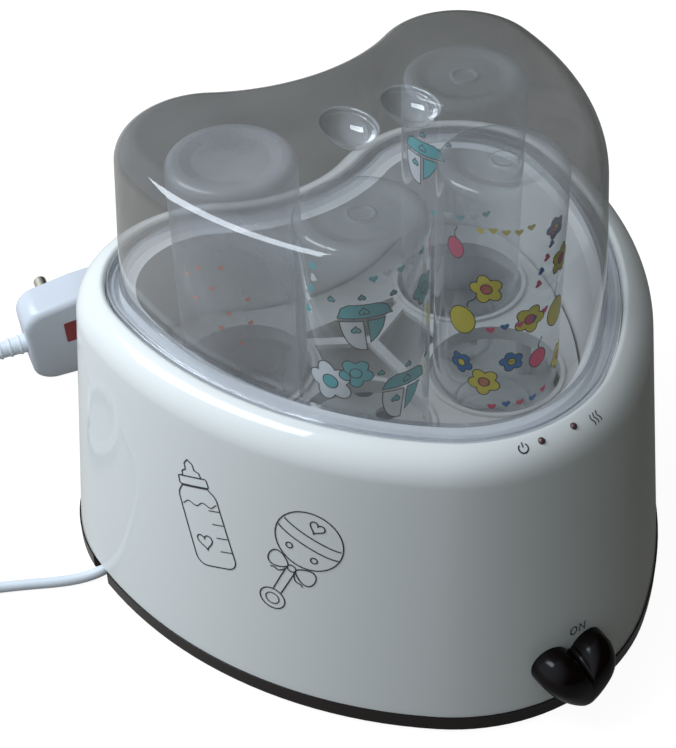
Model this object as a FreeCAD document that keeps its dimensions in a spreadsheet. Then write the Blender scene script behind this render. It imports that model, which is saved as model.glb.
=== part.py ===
import FreeCAD, Part
import Sketcher
import math
import os
from FreeCAD import Placement, Rotation, Vector

# Baby bottle steriliser: a heart-shaped steam base, a clear lid, a lift-out rack and four bottles.
# +Z is up, the nose of the heart points to -Y, and the origin is on the table under the middle.

sizes = {
    # heart outline of the lid wall, which every other outline is offset from
    "outlineNoseRadius": 62.5,
    "outlineNoseFront": 30.4,
    "outlineLobeRadius": 44.5,
    "outlineLobeSide": 65,
    "outlineLobeBack": 62.1,
    "outlineSideRadius": 180,
    "outlineCleftRadius": 83,
    # heart outline of the switch button
    "buttonNoseRadius": 7,
    "buttonNoseFront": 10,
    "buttonLobeRadius": 9.6,
    "buttonLobeSide": 9.6,
    "buttonLobeBack": 5,
    "buttonSideRadius": 45,
    "buttonCleftRadius": 2,
    # housing
    "rimHeight": 151.5,
    "rimGap": 6.5,
    "rimWidth": 12.7,
    "rimRound": 16,
    "rimLip": 2,
    "baseFlare": 14.7,
    "shellFoot": 10,
    "shellWall": 3,
    "recessDepth": 7.5,
    "ledgeInset": 2,
    # bottom cover
    "footHeight": 1.5,
    "skirtProud": 0.8,
    "coverWall": 3,
    "lipTop": 13,
    # water bowl
    "flangeHeight": 1.8,
    "bowlInset": 7,
    "bowlWall": 2,
    "bowlTaper": 2.5,
    "bowlFloor": 52.5,
    "bowlRound": 12,
    # heater
    "heaterBack": 24,
    "plateRadius": 46,
    "plateFlange": 54,
    "plateThick": 1.5,
    "sealHeight": 1.5,
    "elementRadius": 32,
    "elementTube": 3.5,
    # lid
    "lidFoot": 146.2,
    "lidHeight": 226,
    "lidWall": 2.5,
    "lidTaper": 5.5,
    "lidRound": 11.5,
    "lidLedge": 2,
    "lidLip": 4.5,
    "scoopSide": 14,
    "scoopBack": 28,
    "scoopWide": 11.5,
    "scoopLong": 18,
    "scoopDeep": 14,
    # rack
    "rackTop": 100.5,
    "rackThick": 2.5,
    "rackInset": 9.7,
    "rackHole": 30.5,
    "ringWidth": 4.5,
    "armWidth": 5,
    "deckTop": 62.5,
    "deckThick": 2.5,
    # bottles
    "frontSide": 35.4,
    "frontFront": 14.2,
    "backSide": 60,
    "backBack": 50,
    "bottleRadius": 28.5,
    "bottleTop": 218.5,
    "bottleWall": 1.8,
    "shoulderTop": 101.5,
    "neckTop": 85.5,
    "neckRadius": 17,
    # switch
    "buttonHeight": 27,
    "buttonFace": 143.3,
    "buttonTravel": 3,
    # mains lead
    "cordRadius": 2.7,
    "coilBack": 162,
    "coilSide": 203,
    "coilRadius": 30,
    "coilFoot": 0.7,
}

doc = FreeCAD.newDocument("Steriliser")
sheet = doc.addObject("Spreadsheet::Sheet", "Sizes")
for row, (alias, value) in enumerate(sizes.items(), 1):
    sheet.set(f"A{row}", alias)
    sheet.set(f"B{row}", str(value))
    sheet.setAlias(f"B{row}", alias)
doc.recompute()

parts = {}      # node name to the object that is written as its file
upAxis = Vector(0, 0, 1)


def amount(words):
    """Adds up a sum of sheet names and numbers, such as 'rimGap + rimWidth - 3'."""
    total, sign = 0.0, 1
    for word in str(words).split():
        if word in ("+", "-"):
            sign = 1 if word == "+" else -1
        else:
            total += sign * float(sizes.get(word, word))
    return total


def bound(words):
    """Writes the same sum as an expression on the sheet."""
    return " ".join("Sizes." + word if word in sizes else word for word in str(words).split())


def keep(name, thing):
    """Names a finished sub-part, so that it is checked and written at the end."""
    thing.Label = name
    parts[name] = thing
    return thing


def place(thing, x=0, y=0, z=0, rotation=None):
    """Puts an object at a place that stays bound to the sheet."""
    thing.Placement = Placement(Vector(amount(x), amount(y), amount(z)), rotation or Rotation())
    for letter, words in (("x", x), ("y", y), ("z", z)):
        if words:
            thing.setExpression("Placement.Base." + letter, bound(words))
    return thing


def heartCentres(family):
    """Returns the arc centres of the right half of a heart: nose, side, lobe and cleft."""
    noseR, lobeR, sideR, cleftR = [sizes[family + part + "Radius"] for part in ("Nose", "Lobe", "Side", "Cleft")]
    nose = Vector(0, -sizes[family + "NoseFront"], 0)
    lobe = Vector(sizes[family + "LobeSide"], sizes[family + "LobeBack"], 0)
    gap = lobe - nose
    fromNose, fromLobe = sideR - noseR, sideR - lobeR
    along = (fromNose ** 2 - fromLobe ** 2 + gap.Length ** 2) / (2 * gap.Length)
    across = math.sqrt(fromNose ** 2 - along ** 2)
    unit = gap / gap.Length
    side = nose + unit * along + Vector(-unit.y, unit.x, 0) * across
    cleft = Vector(0, lobe.y + math.sqrt((lobeR + cleftR) ** 2 - lobe.x ** 2), 0)
    return nose, side, lobe, cleft


def heartSketch(name, offset, family="outline"):
    """Draws a heart of six tangent arcs, its outline moved outward by offset, bound to the sheet."""
    sketch = doc.addObject("Sketcher::SketchObject", name)
    nose, side, lobe, cleft = heartCentres(family)
    out = amount(offset)
    radii = {part: sizes[family + part + "Radius"] + out for part in ("Nose", "Side", "Lobe")}
    radii["Cleft"] = sizes[family + "CleftRadius"] - out
    sideStart = math.atan2(nose.y - side.y, nose.x - side.x)
    sideEnd = math.atan2(lobe.y - side.y, lobe.x - side.x)
    lobeEnd = math.atan2(cleft.y - lobe.y, cleft.x - lobe.x)
    mirror = lambda angle: math.pi - angle
    arcs = [
        (nose, radii["Nose"], mirror(sideStart) - 2 * math.pi, sideStart),
        (side, radii["Side"], sideStart, sideEnd),
        (lobe, radii["Lobe"], sideEnd, lobeEnd),
        (cleft, radii["Cleft"], mirror(lobeEnd) + math.pi, lobeEnd + math.pi),
        (Vector(-lobe.x, lobe.y, 0), radii["Lobe"], mirror(lobeEnd), mirror(sideEnd)),
        (Vector(-side.x, side.y, 0), radii["Side"], mirror(sideEnd), mirror(sideStart)),
    ]
    for centre, radius, start, end in arcs:
        while end < start:
            end += 2 * math.pi
        while end - start > 2 * math.pi:
            end -= 2 * math.pi
        sketch.addGeometry(Part.ArcOfCircle(Part.Circle(centre, upAxis, radius), start, end), False)
    for first, firstEnd, second, secondEnd in ((0, 2, 1, 1), (1, 2, 2, 1), (2, 2, 3, 2),
                                               (3, 1, 4, 1), (4, 2, 5, 1), (5, 2, 0, 1)):
        sketch.addConstraint(Sketcher.Constraint("Tangent", first, firstEnd, second, secondEnd))
    sketch.addConstraint(Sketcher.Constraint("PointOnObject", 0, 3, -2))
    sketch.addConstraint(Sketcher.Constraint("Symmetric", 2, 3, 4, 3, -2))
    sketch.addConstraint(Sketcher.Constraint("Equal", 2, 4))
    sketch.addConstraint(Sketcher.Constraint("Equal", 1, 5))
    driving = [
        (Sketcher.Constraint("DistanceY", 0, 3, -1, 1, -nose.y), family + "NoseFront"),
        (Sketcher.Constraint("DistanceX", -1, 1, 2, 3, lobe.x), family + "LobeSide"),
        (Sketcher.Constraint("DistanceY", -1, 1, 2, 3, lobe.y), family + "LobeBack"),
        (Sketcher.Constraint("Radius", 0, radii["Nose"]), family + "NoseRadius + " + str(offset)),
        (Sketcher.Constraint("Radius", 1, radii["Side"]), family + "SideRadius + " + str(offset)),
        (Sketcher.Constraint("Radius", 2, radii["Lobe"]), family + "LobeRadius + " + str(offset)),
    ]
    for constraint, words in driving:
        index = sketch.addConstraint(constraint)
        sketch.setExpression(f"Constraints[{index}]", bound(words.replace("+ -", "- ")))
    index = sketch.addConstraint(Sketcher.Constraint("Radius", 3, radii["Cleft"]))
    sketch.setExpression(f"Constraints[{index}]", f"Sizes.{family}CleftRadius - ({bound(offset)})")
    return sketch


def heartSlab(name, offset, low, high):
    """Makes an upright heart-shaped slab between two heights."""
    sketch = place(heartSketch(name + "Outline", offset), z=low)
    slab = doc.addObject("Part::Extrusion", name)
    slab.Base = sketch
    slab.DirMode = "Normal"
    slab.Solid = True
    slab.LengthFwd = amount(high) - amount(low)
    slab.setExpression("LengthFwd", f"({bound(high)}) - ({bound(low)})")
    return slab


def heartLoft(name, sections, ruled=True):
    """Makes a heart-shaped solid through (offset, height) sections."""
    loft = doc.addObject("Part::Loft", name)
    loft.Sections = [place(heartSketch(f"{name}Section{index}", offset), z=height)
                     for index, (offset, height) in enumerate(sections)]
    loft.Solid = True
    loft.Ruled = ruled
    return loft


def cylinder(name, radius, low, high, x=0, y=0):
    """Makes an upright cylinder between two heights."""
    thing = doc.addObject("Part::Cylinder", name)
    thing.Radius = amount(radius)
    thing.Height = amount(high) - amount(low)
    thing.setExpression("Radius", bound(radius))
    thing.setExpression("Height", f"({bound(high)}) - ({bound(low)})")
    return place(thing, x, y, low)


def box(name, low, high):
    """Makes a box between two corners, given as sums of sheet names and numbers."""
    thing = doc.addObject("Part::Box", name)
    for letter, start, end in zip(("Length", "Width", "Height"), low, high):
        setattr(thing, letter, amount(end) - amount(start))
        thing.setExpression(letter, f"({bound(end)}) - ({bound(start)})")
    return place(thing, *low)


def cut(name, base, *tools):
    """Cuts the tools out of the base, one after the other."""
    for index, tool in enumerate(tools):
        result = doc.addObject("Part::Cut", name if index == len(tools) - 1 else f"{name}Cut{index}")
        result.Base, result.Tool = base, tool
        base = result
    return base


def fuse(name, *things):
    """Joins solids into one."""
    result = doc.addObject("Part::MultiFuse", name)
    result.Shapes = list(things)
    result.Refine = True
    return result


def common(name, base, tool):
    """Keeps what two solids share."""
    result = doc.addObject("Part::Common", name)
    result.Base, result.Tool = base, tool
    return result


def group(name, *things):
    """Keeps several separate solids in one sub-part."""
    result = doc.addObject("Part::Compound", name)
    result.Links = list(things)
    return result


def rounded(name, base, radius, chosen):
    """Rounds the edges that the test chosen(edge) picks."""
    doc.recompute()
    size = amount(radius)
    result = doc.addObject("Part::Fillet", name)
    result.Base = base
    result.Edges = [(index, size, size) for index, edge in enumerate(base.Shape.Edges, 1) if chosen(edge)]
    return result


def turned(name, points, x=0, y=0):
    """Turns a closed profile of (radius, height) corners about an upright axis."""
    body = doc.addObject("PartDesign::Body", name)
    sketch = body.newObject("Sketcher::SketchObject", name + "Profile")
    plane = [item for item in body.Origin.OriginFeatures if item.Role == "XZ_Plane"][0]
    sketch.AttachmentSupport = [(plane, "")]
    sketch.MapMode = "FlatFace"
    corners = [Vector(amount(radius), amount(height), 0) for radius, height in points]
    count = len(corners)
    for index in range(count):
        sketch.addGeometry(Part.LineSegment(corners[index], corners[(index + 1) % count]), False)
    for index in range(count):
        sketch.addConstraint(Sketcher.Constraint("Coincident", index, 2, (index + 1) % count, 1))
    for index, (radius, height) in enumerate(points):
        if amount(radius) == 0:
            sketch.addConstraint(Sketcher.Constraint("PointOnObject", index, 1, -2))
        else:
            number = sketch.addConstraint(Sketcher.Constraint("DistanceX", -1, 1, index, 1, amount(radius)))
            sketch.setExpression(f"Constraints[{number}]", bound(radius))
        number = sketch.addConstraint(Sketcher.Constraint("DistanceY", -1, 1, index, 1, amount(height)))
        sketch.setExpression(f"Constraints[{number}]", bound(height))
    spin = body.newObject("PartDesign::Revolution", name + "Turn")
    spin.Profile = sketch
    spin.ReferenceAxis = (sketch, ["V_Axis"])
    spin.Angle = 360
    body.Tip = spin
    return place(body, x, y)


def softened(body, radius, chosen):
    """Rounds edges of a turned body as a further feature of it."""
    doc.recompute()
    base = body.Tip
    names = [f"Edge{index}" for index, edge in enumerate(base.Shape.Edges, 1) if chosen(edge)]
    fillet = body.newObject("PartDesign::Fillet", f"{body.Name}Round{len(body.Group)}")
    fillet.Base = (base, names)
    fillet.Radius = amount(radius)
    fillet.setExpression("Radius", bound(radius))
    body.Tip = fillet
    return body


def edgeAt(height, slack=0.05):
    """Returns a test for edges that lie level at a height."""
    level = amount(height)
    return lambda edge: abs(edge.BoundBox.ZMin - level) < slack and abs(edge.BoundBox.ZMax - level) < slack


def circleAt(radius, height):
    """Returns a test for circular edges of a radius at a height."""
    level = edgeAt(height)
    wanted = amount(radius)
    return lambda edge: level(edge) and hasattr(edge.Curve, "Radius") and abs(edge.Curve.Radius - wanted) < 0.05


def onWall(offset, angle, lobe=0):
    """Returns a point at an offset from the outline, on the nose arc or on a lobe (-1 left, 1 right)."""
    turn = math.radians(angle)
    if lobe:
        reach = sizes["outlineLobeRadius"] + offset
        return (lobe * sizes["outlineLobeSide"] + reach * math.cos(turn),
                sizes["outlineLobeBack"] + reach * math.sin(turn))
    reach = sizes["outlineNoseRadius"] + offset
    return reach * math.cos(turn), -sizes["outlineNoseFront"] + reach * math.sin(turn)


# Places that several sub-parts share

screwPlaces = [onWall(25.2, 35, 1), onWall(25.2, 145, -1), onWall(25.2, -62), onWall(25.2, -118)]
footPlaces = [onWall(12, 60, 1), onWall(12, 120, -1), onWall(8, -55), onWall(8, -125)]
bottlePlaces = {
    "front_left": ("0 - frontSide", "0 - frontFront"),
    "front_right": ("frontSide", "0 - frontFront"),
    "back_left": ("0 - backSide", "backBack"),
    "back_right": ("backSide", "backBack"),
}
coverFloor = "footHeight + coverWall"
ledgeTop = "rimHeight - recessDepth"

# Lamps on the nose of the rim, tilted with the rounded surface
lensRadius = 1.7
lampSide = 8
lampOut = 12
lampHeight = 148.5
lampTilt = Rotation(Vector(1, 0, 0), 34)
boardTop = 132.1
boardBack = -95.5
boardBossSide = 13

# Channel under the left lobe that the mains lead comes out through
channelBack = 57
channelHalf = 7
channelEnd = -98
glandHeight = 9.5
glandTip = -124


def lampPlace(side, along=0):
    """Returns the place of a lamp, moved along its tilted axis."""
    reach = math.sqrt((sizes["outlineNoseRadius"] + lampOut) ** 2 - lampSide ** 2)
    point = Vector(side * lampSide, -sizes["outlineNoseFront"] - reach, lampHeight)
    point += lampTilt.multVec(upAxis) * along
    return point.x, point.y, point.z


# Housing shell: drafted walls, a full round over the rim and a recess that takes the lid

def baseShell():
    rimOut = "rimGap + rimWidth"
    outer = heartLoft("ShellBlock", [(rimOut + " + baseFlare", "shellFoot"), (rimOut, "rimHeight")])
    outer = rounded("ShellRounded", outer, "rimRound", edgeAt("rimHeight"))
    inner = heartLoft("ShellCore", [(rimOut + " + baseFlare - shellWall", "shellFoot - 1"),
                                    (rimOut + " - shellWall", "rimHeight - shellWall")])
    inner = rounded("ShellCoreRounded", inner, "rimRound - shellWall", edgeAt("rimHeight - shellWall"))
    ledge = heartSlab("ShellLedge", "rimGap + shellWall", ledgeTop + " - shellWall", "rimHeight + 1")
    core = cut("ShellHollow", inner, ledge)
    recess = heartSlab("ShellRecess", "rimGap", ledgeTop, "rimHeight + 1")
    well = heartSlab("ShellWell", "0 - ledgeInset", ledgeTop + " - shellWall - 1", ledgeTop + " + 1")
    shell = cut("ShellOpen", outer, core, recess, well)
    isLip = lambda edge: edge.BoundBox.ZMin > amount("rimHeight - 1")
    shell = rounded("ShellLip", shell, "rimLip", isLip)
    bosses = [cylinder(f"ScrewBoss{number}", 5, "lipTop", 30, x, y) for number, (x, y) in enumerate(screwPlaces)]
    for number, side in enumerate((-1, 1)):
        bosses.append(cylinder(f"BoardBoss{number}", 2.5, boardTop, ledgeTop + " - 1",
                               side * boardBossSide, boardBack))
    shell = fuse("ShellBosses", shell, *bosses)
    tools = [cylinder(f"ScrewHole{number}", 1.5, "lipTop - 1", 26, x, y)
             for number, (x, y) in enumerate(screwPlaces)]
    for number, side in enumerate((-1, 1)):
        hole = cylinder(f"LampHole{number}", lensRadius + 0.1, -6, 8)
        tools.append(place(hole, *lampPlace(side, -6), lampTilt))
    tools.append(buttonPrism("ButtonAperture", 0.6, 110, 150))
    keep("base_shell", cut("base_shell", shell, *tools))


def lamps():
    for name, side in (("power_lamp_lens", -1), ("steam_lamp_lens", 1)):
        stem = place(cylinder(name + "Stem", lensRadius, -3.6, 0.6), *lampPlace(side, -3.6), lampTilt)
        dome = doc.addObject("Part::Sphere", name + "Dome")
        dome.Radius = lensRadius
        dome.Angle1 = 0
        place(dome, *lampPlace(side, 0.6), lampTilt)
        keep(name, fuse(name, stem, dome))
    keep("lamp_board", box("BoardPlate", (-18, boardBack - 8, boardTop - 1.6), (18, boardBack + 6, boardTop)))
    leds = []
    for number, side in enumerate((-1, 1)):
        x, y = side * lampSide, boardBack - 4
        leds.append(fuse(f"Led{number}", cylinder(f"LedBase{number}", 1.9, boardTop, boardTop + 1, x, y),
                         cylinder(f"LedBody{number}", 1.5, boardTop + 1, boardTop + 4.5, x, y)))
    keep("lamp_leds", group("lamp_leds", *leds))


# Bottom cover, its feet and screws

def bottomCover():
    skirt = "rimGap + rimWidth + baseFlare + skirtProud"
    block = heartSlab("CoverBlock", skirt, "footHeight", "shellFoot")
    block = rounded("CoverRounded", block, 1.2, edgeAt("footHeight"))
    pocket = heartSlab("CoverPocket", skirt + " - coverWall - 0.8", coverFloor, "shellFoot + 1")
    lip = cut("CoverLip", heartSlab("CoverLipOuter", skirt + " - 4.5", coverFloor + " - 1", "lipTop"),
              heartSlab("CoverLipInner", skirt + " - 6.5", "footHeight", "lipTop + 1"))
    tunnel = box("CordTunnel", (-136, channelBack - channelHalf - 2, "footHeight + 1"),
                 (channelEnd + 2, channelBack + channelHalf + 2, 17))
    pads = [cylinder(f"ScrewPad{number}", 5, "footHeight + 1", "lipTop", x, y)
            for number, (x, y) in enumerate(screwPlaces)]
    cover = fuse("CoverJoined", cut("CoverTray", block, pocket), lip, tunnel, *pads)
    gland = cylinder("GlandHole", 3.6, 0, 8)
    place(gland, channelEnd - 1, channelBack, glandHeight, Rotation(Vector(0, 1, 0), 90))
    tools = [box("CordChannel", (-160, channelBack - channelHalf, 0),
                 (channelEnd, channelBack + channelHalf, 15)), gland,
             buttonPrism("CoverButtonNotch", 1.9, 110, 123.6)]
    for number, (x, y) in enumerate(screwPlaces):
        tools.append(cylinder(f"HeadPocket{number}", 4, 0, 8, x, y))
        tools.append(cylinder(f"ShankHole{number}", 1.8, 7, "lipTop + 1", x, y))
    for number in range(6):
        x = -25 + 10 * number
        tools.append(box(f"VentSlot{number}", (x - 1.5, 60, 0), (x + 1.5, 92, coverFloor + " + 1")))
    keep("bottom_cover", cut("bottom_cover", cover, *tools))
    feet = []
    for number, (x, y) in enumerate(footPlaces):
        foot = cylinder(f"FootPad{number}", 8, 0, "footHeight", x, y)
        feet.append(rounded(f"Foot{number}", foot, 0.8, edgeAt(0)))
    keep("rubber_feet", group("rubber_feet", *feet))
    screws = []
    for number, (x, y) in enumerate(screwPlaces):
        screws.append(fuse(f"Screw{number}", cylinder(f"ScrewHead{number}", 3.5, 5.8, 8, x, y),
                           cylinder(f"ScrewShank{number}", 1.5, 8, 25, x, y)))
    keep("cover_screws", group("cover_screws", *screws))


# Water bowl and the heater that closes its floor from below

postReach = 58.5


def aroundHeater(reach, angle):
    turn = math.radians(angle)
    return reach * math.cos(turn), sizes["heaterBack"] + reach * math.sin(turn)


def waterBowl():
    inner = "0 - bowlInset"
    outer = heartLoft("BowlBlock", [(inner + " + bowlWall - bowlTaper", "bowlFloor - bowlWall"),
                                    (inner + " + bowlWall", ledgeTop)])
    outer = rounded("BowlBlockRounded", outer, "bowlRound + bowlWall", edgeAt("bowlFloor - bowlWall"))
    core = heartLoft("BowlCore", [(inner + " - bowlTaper", "bowlFloor"), (inner, ledgeTop + " + flangeHeight + 1")])
    core = rounded("BowlCoreRounded", core, "bowlRound", edgeAt("bowlFloor"))
    flange = heartSlab("BowlFlange", "rimGap - 0.5", ledgeTop, ledgeTop + " + flangeHeight")
    opening = cylinder("HeaterOpening", "plateRadius + 0.8", "bowlFloor - 6", "bowlFloor + 2", 0, "heaterBack")
    posts, holes = [], []
    for number in range(4):
        x, y = aroundHeater(postReach, 45 + 90 * number)
        posts.append(cylinder(f"ClampPost{number}", 3.5, "bowlFloor - 5", "bowlFloor - 1", x, y))
        holes.append(cylinder(f"ClampHole{number}", 1.2, "bowlFloor - 6", "bowlFloor - 1.5", x, y))
    tub = cut("BowlTub", fuse("BowlSolid", outer, flange), core, opening)
    keep("water_bowl", cut("water_bowl", fuse("BowlPosts", tub, *posts), *holes))


def heater():
    under = "bowlFloor - bowlWall"
    rise = under + " - sealHeight"
    flangeLow = rise + " - plateThick"
    keep("heating_plate", turned("heating_plate", [
        (0, "bowlFloor - 0.7"), (18, "bowlFloor - 0.7"), (22, "bowlFloor + 0.8"),
        ("plateRadius - 2", "bowlFloor + 0.8"), ("plateRadius", "bowlFloor - 0.5"), ("plateRadius", rise),
        ("plateFlange", rise), ("plateFlange", flangeLow), ("plateRadius - plateThick", flangeLow),
        ("plateRadius - plateThick", "bowlFloor - 1.2"), ("plateRadius - 2.6", "bowlFloor - 0.7"),
        (22.6, "bowlFloor - 0.7"), (18.6, "bowlFloor - 2.2"), (0, "bowlFloor - 2.2")], 0, "heaterBack"))
    keep("plate_seal", turned("plate_seal", [
        ("plateRadius", rise), ("plateFlange", rise), ("plateFlange", under), ("plateRadius + 0.8", under),
        ("plateRadius + 0.8", "bowlFloor - 0.4"), ("plateRadius", "bowlFloor - 0.6")], 0, "heaterBack"))
    ring = turned("ClampRing", [(47, flangeLow), (62, flangeLow), (62, flangeLow + " - 2"),
                                (47, flangeLow + " - 2")], 0, "heaterBack")
    holes, screws = [], []
    for number in range(4):
        x, y = aroundHeater(postReach, 45 + 90 * number)
        holes.append(cylinder(f"RingHole{number}", 1.4, "bowlFloor - 10", "bowlFloor - 2", x, y))
        screws.append(fuse(f"ClampScrew{number}",
                           cylinder(f"ClampHead{number}", 2.8, "bowlFloor - 8.8", "bowlFloor - 7", x, y),
                           cylinder(f"ClampShank{number}", 1.2, "bowlFloor - 7", "bowlFloor - 2", x, y)))
    keep("clamp_ring", cut("clamp_ring", ring, *holes))
    keep("clamp_screws", group("clamp_screws", *screws))
    elementHeight = "bowlFloor - 4.3"
    loop = doc.addObject("Part::Torus", "ElementLoop")
    loop.setExpression("Radius1", "Sizes.elementRadius")
    loop.setExpression("Radius2", "Sizes.elementTube")
    loop.Angle3 = 330
    place(loop, 0, "heaterBack", elementHeight, Rotation(upAxis, -75))
    pins = []
    for number, angle in enumerate((-75, -105)):
        x, y = aroundHeater(sizes["elementRadius"], angle)
        pins.append(cylinder(f"ElementPin{number}", 2.2, "bowlFloor - 16", elementHeight, x, y))
        knob = doc.addObject("Part::Sphere", f"ElementEnd{number}")
        knob.setExpression("Radius", "Sizes.elementTube")
        pins.append(place(knob, x, y, elementHeight))
    keep("heating_element", fuse("heating_element", loop, *pins))
    can = fuse("ThermostatCan", cylinder("CanTop", 10, "bowlFloor - 3.6", "bowlFloor - 2.2", 0, "heaterBack"),
               cylinder("CanBody", 8, "bowlFloor - 11", "bowlFloor - 3.6", 0, "heaterBack"))
    tabs = [box(f"CanTab{number}", (x - 0.4, "heaterBack - 3", "bowlFloor - 18"),
                (x + 0.4, "heaterBack + 3", "bowlFloor - 11")) for number, x in enumerate((-4, 4))]
    keep("thermostat", fuse("thermostat", can, *tabs))
    barrel = place(cylinder("FuseBarrel", 2.8, 0, 24), -12, "heaterBack - 54", "bowlFloor - 9.8",
                   Rotation(Vector(0, 1, 0), 90))
    clip = box("FuseClip", (-3, "heaterBack - 57.6", "bowlFloor - 13.4"),
               (3, "heaterBack - 50.4", "bowlFloor - 7"))
    keep("thermal_fuse", fuse("thermal_fuse", barrel, clip))


# Wiring inside the base

def roundedPath(name, points, radiusShare=0.45):
    """Makes a path of straight runs joined by tangent arcs, as large as the runs allow."""
    points = [Vector(*point) for point in points]
    edges, start, radii = [], points[0], []
    for before, corner, after in zip(points, points[1:], points[2:]):
        back, ahead = before - corner, after - corner
        turn = math.pi - back.getAngle(ahead)
        shorter = min(back.Length, ahead.Length)
        radii.append(radiusShare * shorter / math.tan(turn / 2))
        back.normalize()
        ahead.normalize()
        arcStart = corner + back * radiusShare * shorter
        arcEnd = corner + ahead * radiusShare * shorter
        middle = back + ahead
        middle.normalize()
        reach = radii[-1] / math.cos(turn / 2) - radii[-1]
        edges.append(Part.LineSegment(start, arcStart).toShape())
        edges.append(Part.Arc(arcStart, corner + middle * reach, arcEnd).toShape())
        start = arcEnd
    edges.append(Part.LineSegment(start, points[-1]).toShape())
    path = doc.addObject("Part::Feature", name)
    path.Shape = Part.Wire(edges)
    return path, radii


def tube(name, points, radius):
    """Sweeps a round section along a rounded path, and prints its radii and its volume against its length."""
    path, radii = roundedPath(name + "Path", points)
    first, second = Vector(*points[0]), Vector(*points[1])
    ring = doc.addObject("Part::Circle", name + "Section")
    ring.Radius = amount(radius)
    ring.setExpression("Radius", bound(radius))
    ring.Placement = Placement(first, Rotation(upAxis, second - first))
    sweep = doc.addObject("Part::Sweep", name)
    sweep.Sections = [ring]
    sweep.Spine = (path, [f"Edge{index}" for index in range(1, len(path.Shape.Edges) + 1)])
    sweep.Solid = True
    doc.recompute()
    expected = math.pi * amount(radius) ** 2 * path.Shape.Length
    print(f"{name}: {path.Shape.Length:.0f} mm, least radius {min(radii):.1f}, radii",
          " ".join(f"{value:.0f}" for value in radii), f"volume ratio {sweep.Shape.Volume / expected:.4f}")
    return sweep


def wiring():
    block = box("BlockBody", (-70, 40, coverFloor), (-46, 74, 17))
    towers = [cylinder(f"BlockTower{number}", 3.6, 16, 22, -58, 47 + 10 * number) for number in range(3)]
    keep("terminal_block", fuse("terminal_block", block, *towers))
    keep("inner_lead", tube("inner_lead", [(-96, channelBack, glandHeight), (-87, channelBack, glandHeight),
                                           (-79, channelBack, glandHeight + 1.5),
                                           (-70, channelBack, glandHeight + 1.5)], "cordRadius - 0.2"))
    left = aroundHeater(sizes["elementRadius"], -105)
    right = aroundHeater(sizes["elementRadius"], -75)
    wires = [
        tube("LiveWire", [(-58, 47, 22), (-56, 44, 30), (-40, 20, 34), (left[0] - 8, left[1] + 4, 32),
                          (left[0], left[1], 36.5)], 1),
        tube("NeutralWire", [(-58, 67, 22), (-54, 66, 30), (-30, 50, 30.5), (0, 6, 30.5),
                             (right[0], right[1], 36.5)], 1),
    ]
    keep("heater_wires", group("heater_wires", *wires))
    keep("lamp_wires", tube("lamp_wires", [(-58, 57, 22), (-64, 50, 32), (-84, 38, 36), (-111, 20, 44),
                                           (-114, -6, 67), (-92, -38, 94), (-60, -78, 116.5), (-22, -95.5, 127.5),
                                           (-14, -96.5, 130.4)], 1.2))


# Switch button: a puffy heart that passes through the nose of the shell

acrossNose = Rotation(Vector(1, 0, 0), 90)


def buttonSketch(name, offset, reach):
    return place(heartSketch(name, offset, "button"), y=f"0 - {reach}", z="buttonHeight", rotation=acrossNose)


def buttonPrism(name, offset, near, far):
    """Makes an upright heart prism that points to -Y between two distances from the middle."""
    prism = doc.addObject("Part::Extrusion", name)
    prism.Base = buttonSketch(name + "Outline", offset, near)
    prism.DirMode = "Normal"
    prism.Solid = True
    prism.LengthFwd = amount(far) - amount(near)
    return prism


def switch():
    crownDepth = 10.3
    shoulder = sizes["buttonFace"] - crownDepth
    crown = doc.addObject("Part::Loft", "ButtonCrown")
    crown.Sections = [buttonSketch(f"ButtonCrownSection{index}", offset, shoulder + depth) for index, (offset, depth)
                      in enumerate(((0, 0), (-0.5, 3.6), (-1.6, 6.6), (-3.2, 8.8), (-5.6, crownDepth)))]
    crown.Solid = True
    body = buttonPrism("ButtonBody", 0, 115.5, shoulder)
    flange = buttonPrism("ButtonFlange", 1.8, 115.5, 117.5)
    keep("heart_button", fuse("heart_button", crown, body, flange))
    alongY = Rotation(Vector(1, 0, 0), 90)
    stem = place(cylinder("StemRod", 4, 0, 24.2), 0, -91.3, "buttonHeight", alongY)
    keep("button_stem", stem)
    housing = fuse("SwitchBlock", box("SwitchBox", (-12, -106, 15), (12, -88, 39)),
                   box("SwitchFoot", (-8, -104, coverFloor), (8, -92, 16)))
    bore = place(cylinder("SwitchBore", 4.06, 0, 30), 0, -80, "buttonHeight", alongY)
    keep("switch_housing", cut("switch_housing", housing, bore))
    micro = fuse("MicroBody", box("MicroBox", (-7, -88, 20), (7, -80, 34)),
                 box("MicroBlades", (-4, -80, 24), (4, -74, 25)))
    keep("microswitch", micro)
    turns, perTurn = 3, 8
    wirePath = []
    for step in range(turns * perTurn + 1):
        angle = 2 * math.pi * step / perTurn
        wirePath.append((5.8 * math.cos(angle), -106.9 - 7.6 * step / (turns * perTurn),
                         sizes["buttonHeight"] + 5.8 * math.sin(angle)))
    keep("button_spring", tube("button_spring", wirePath, 0.5))


# Lid: a clear dome with a stepped foot and two finger scoops that leave a web to pinch

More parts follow.
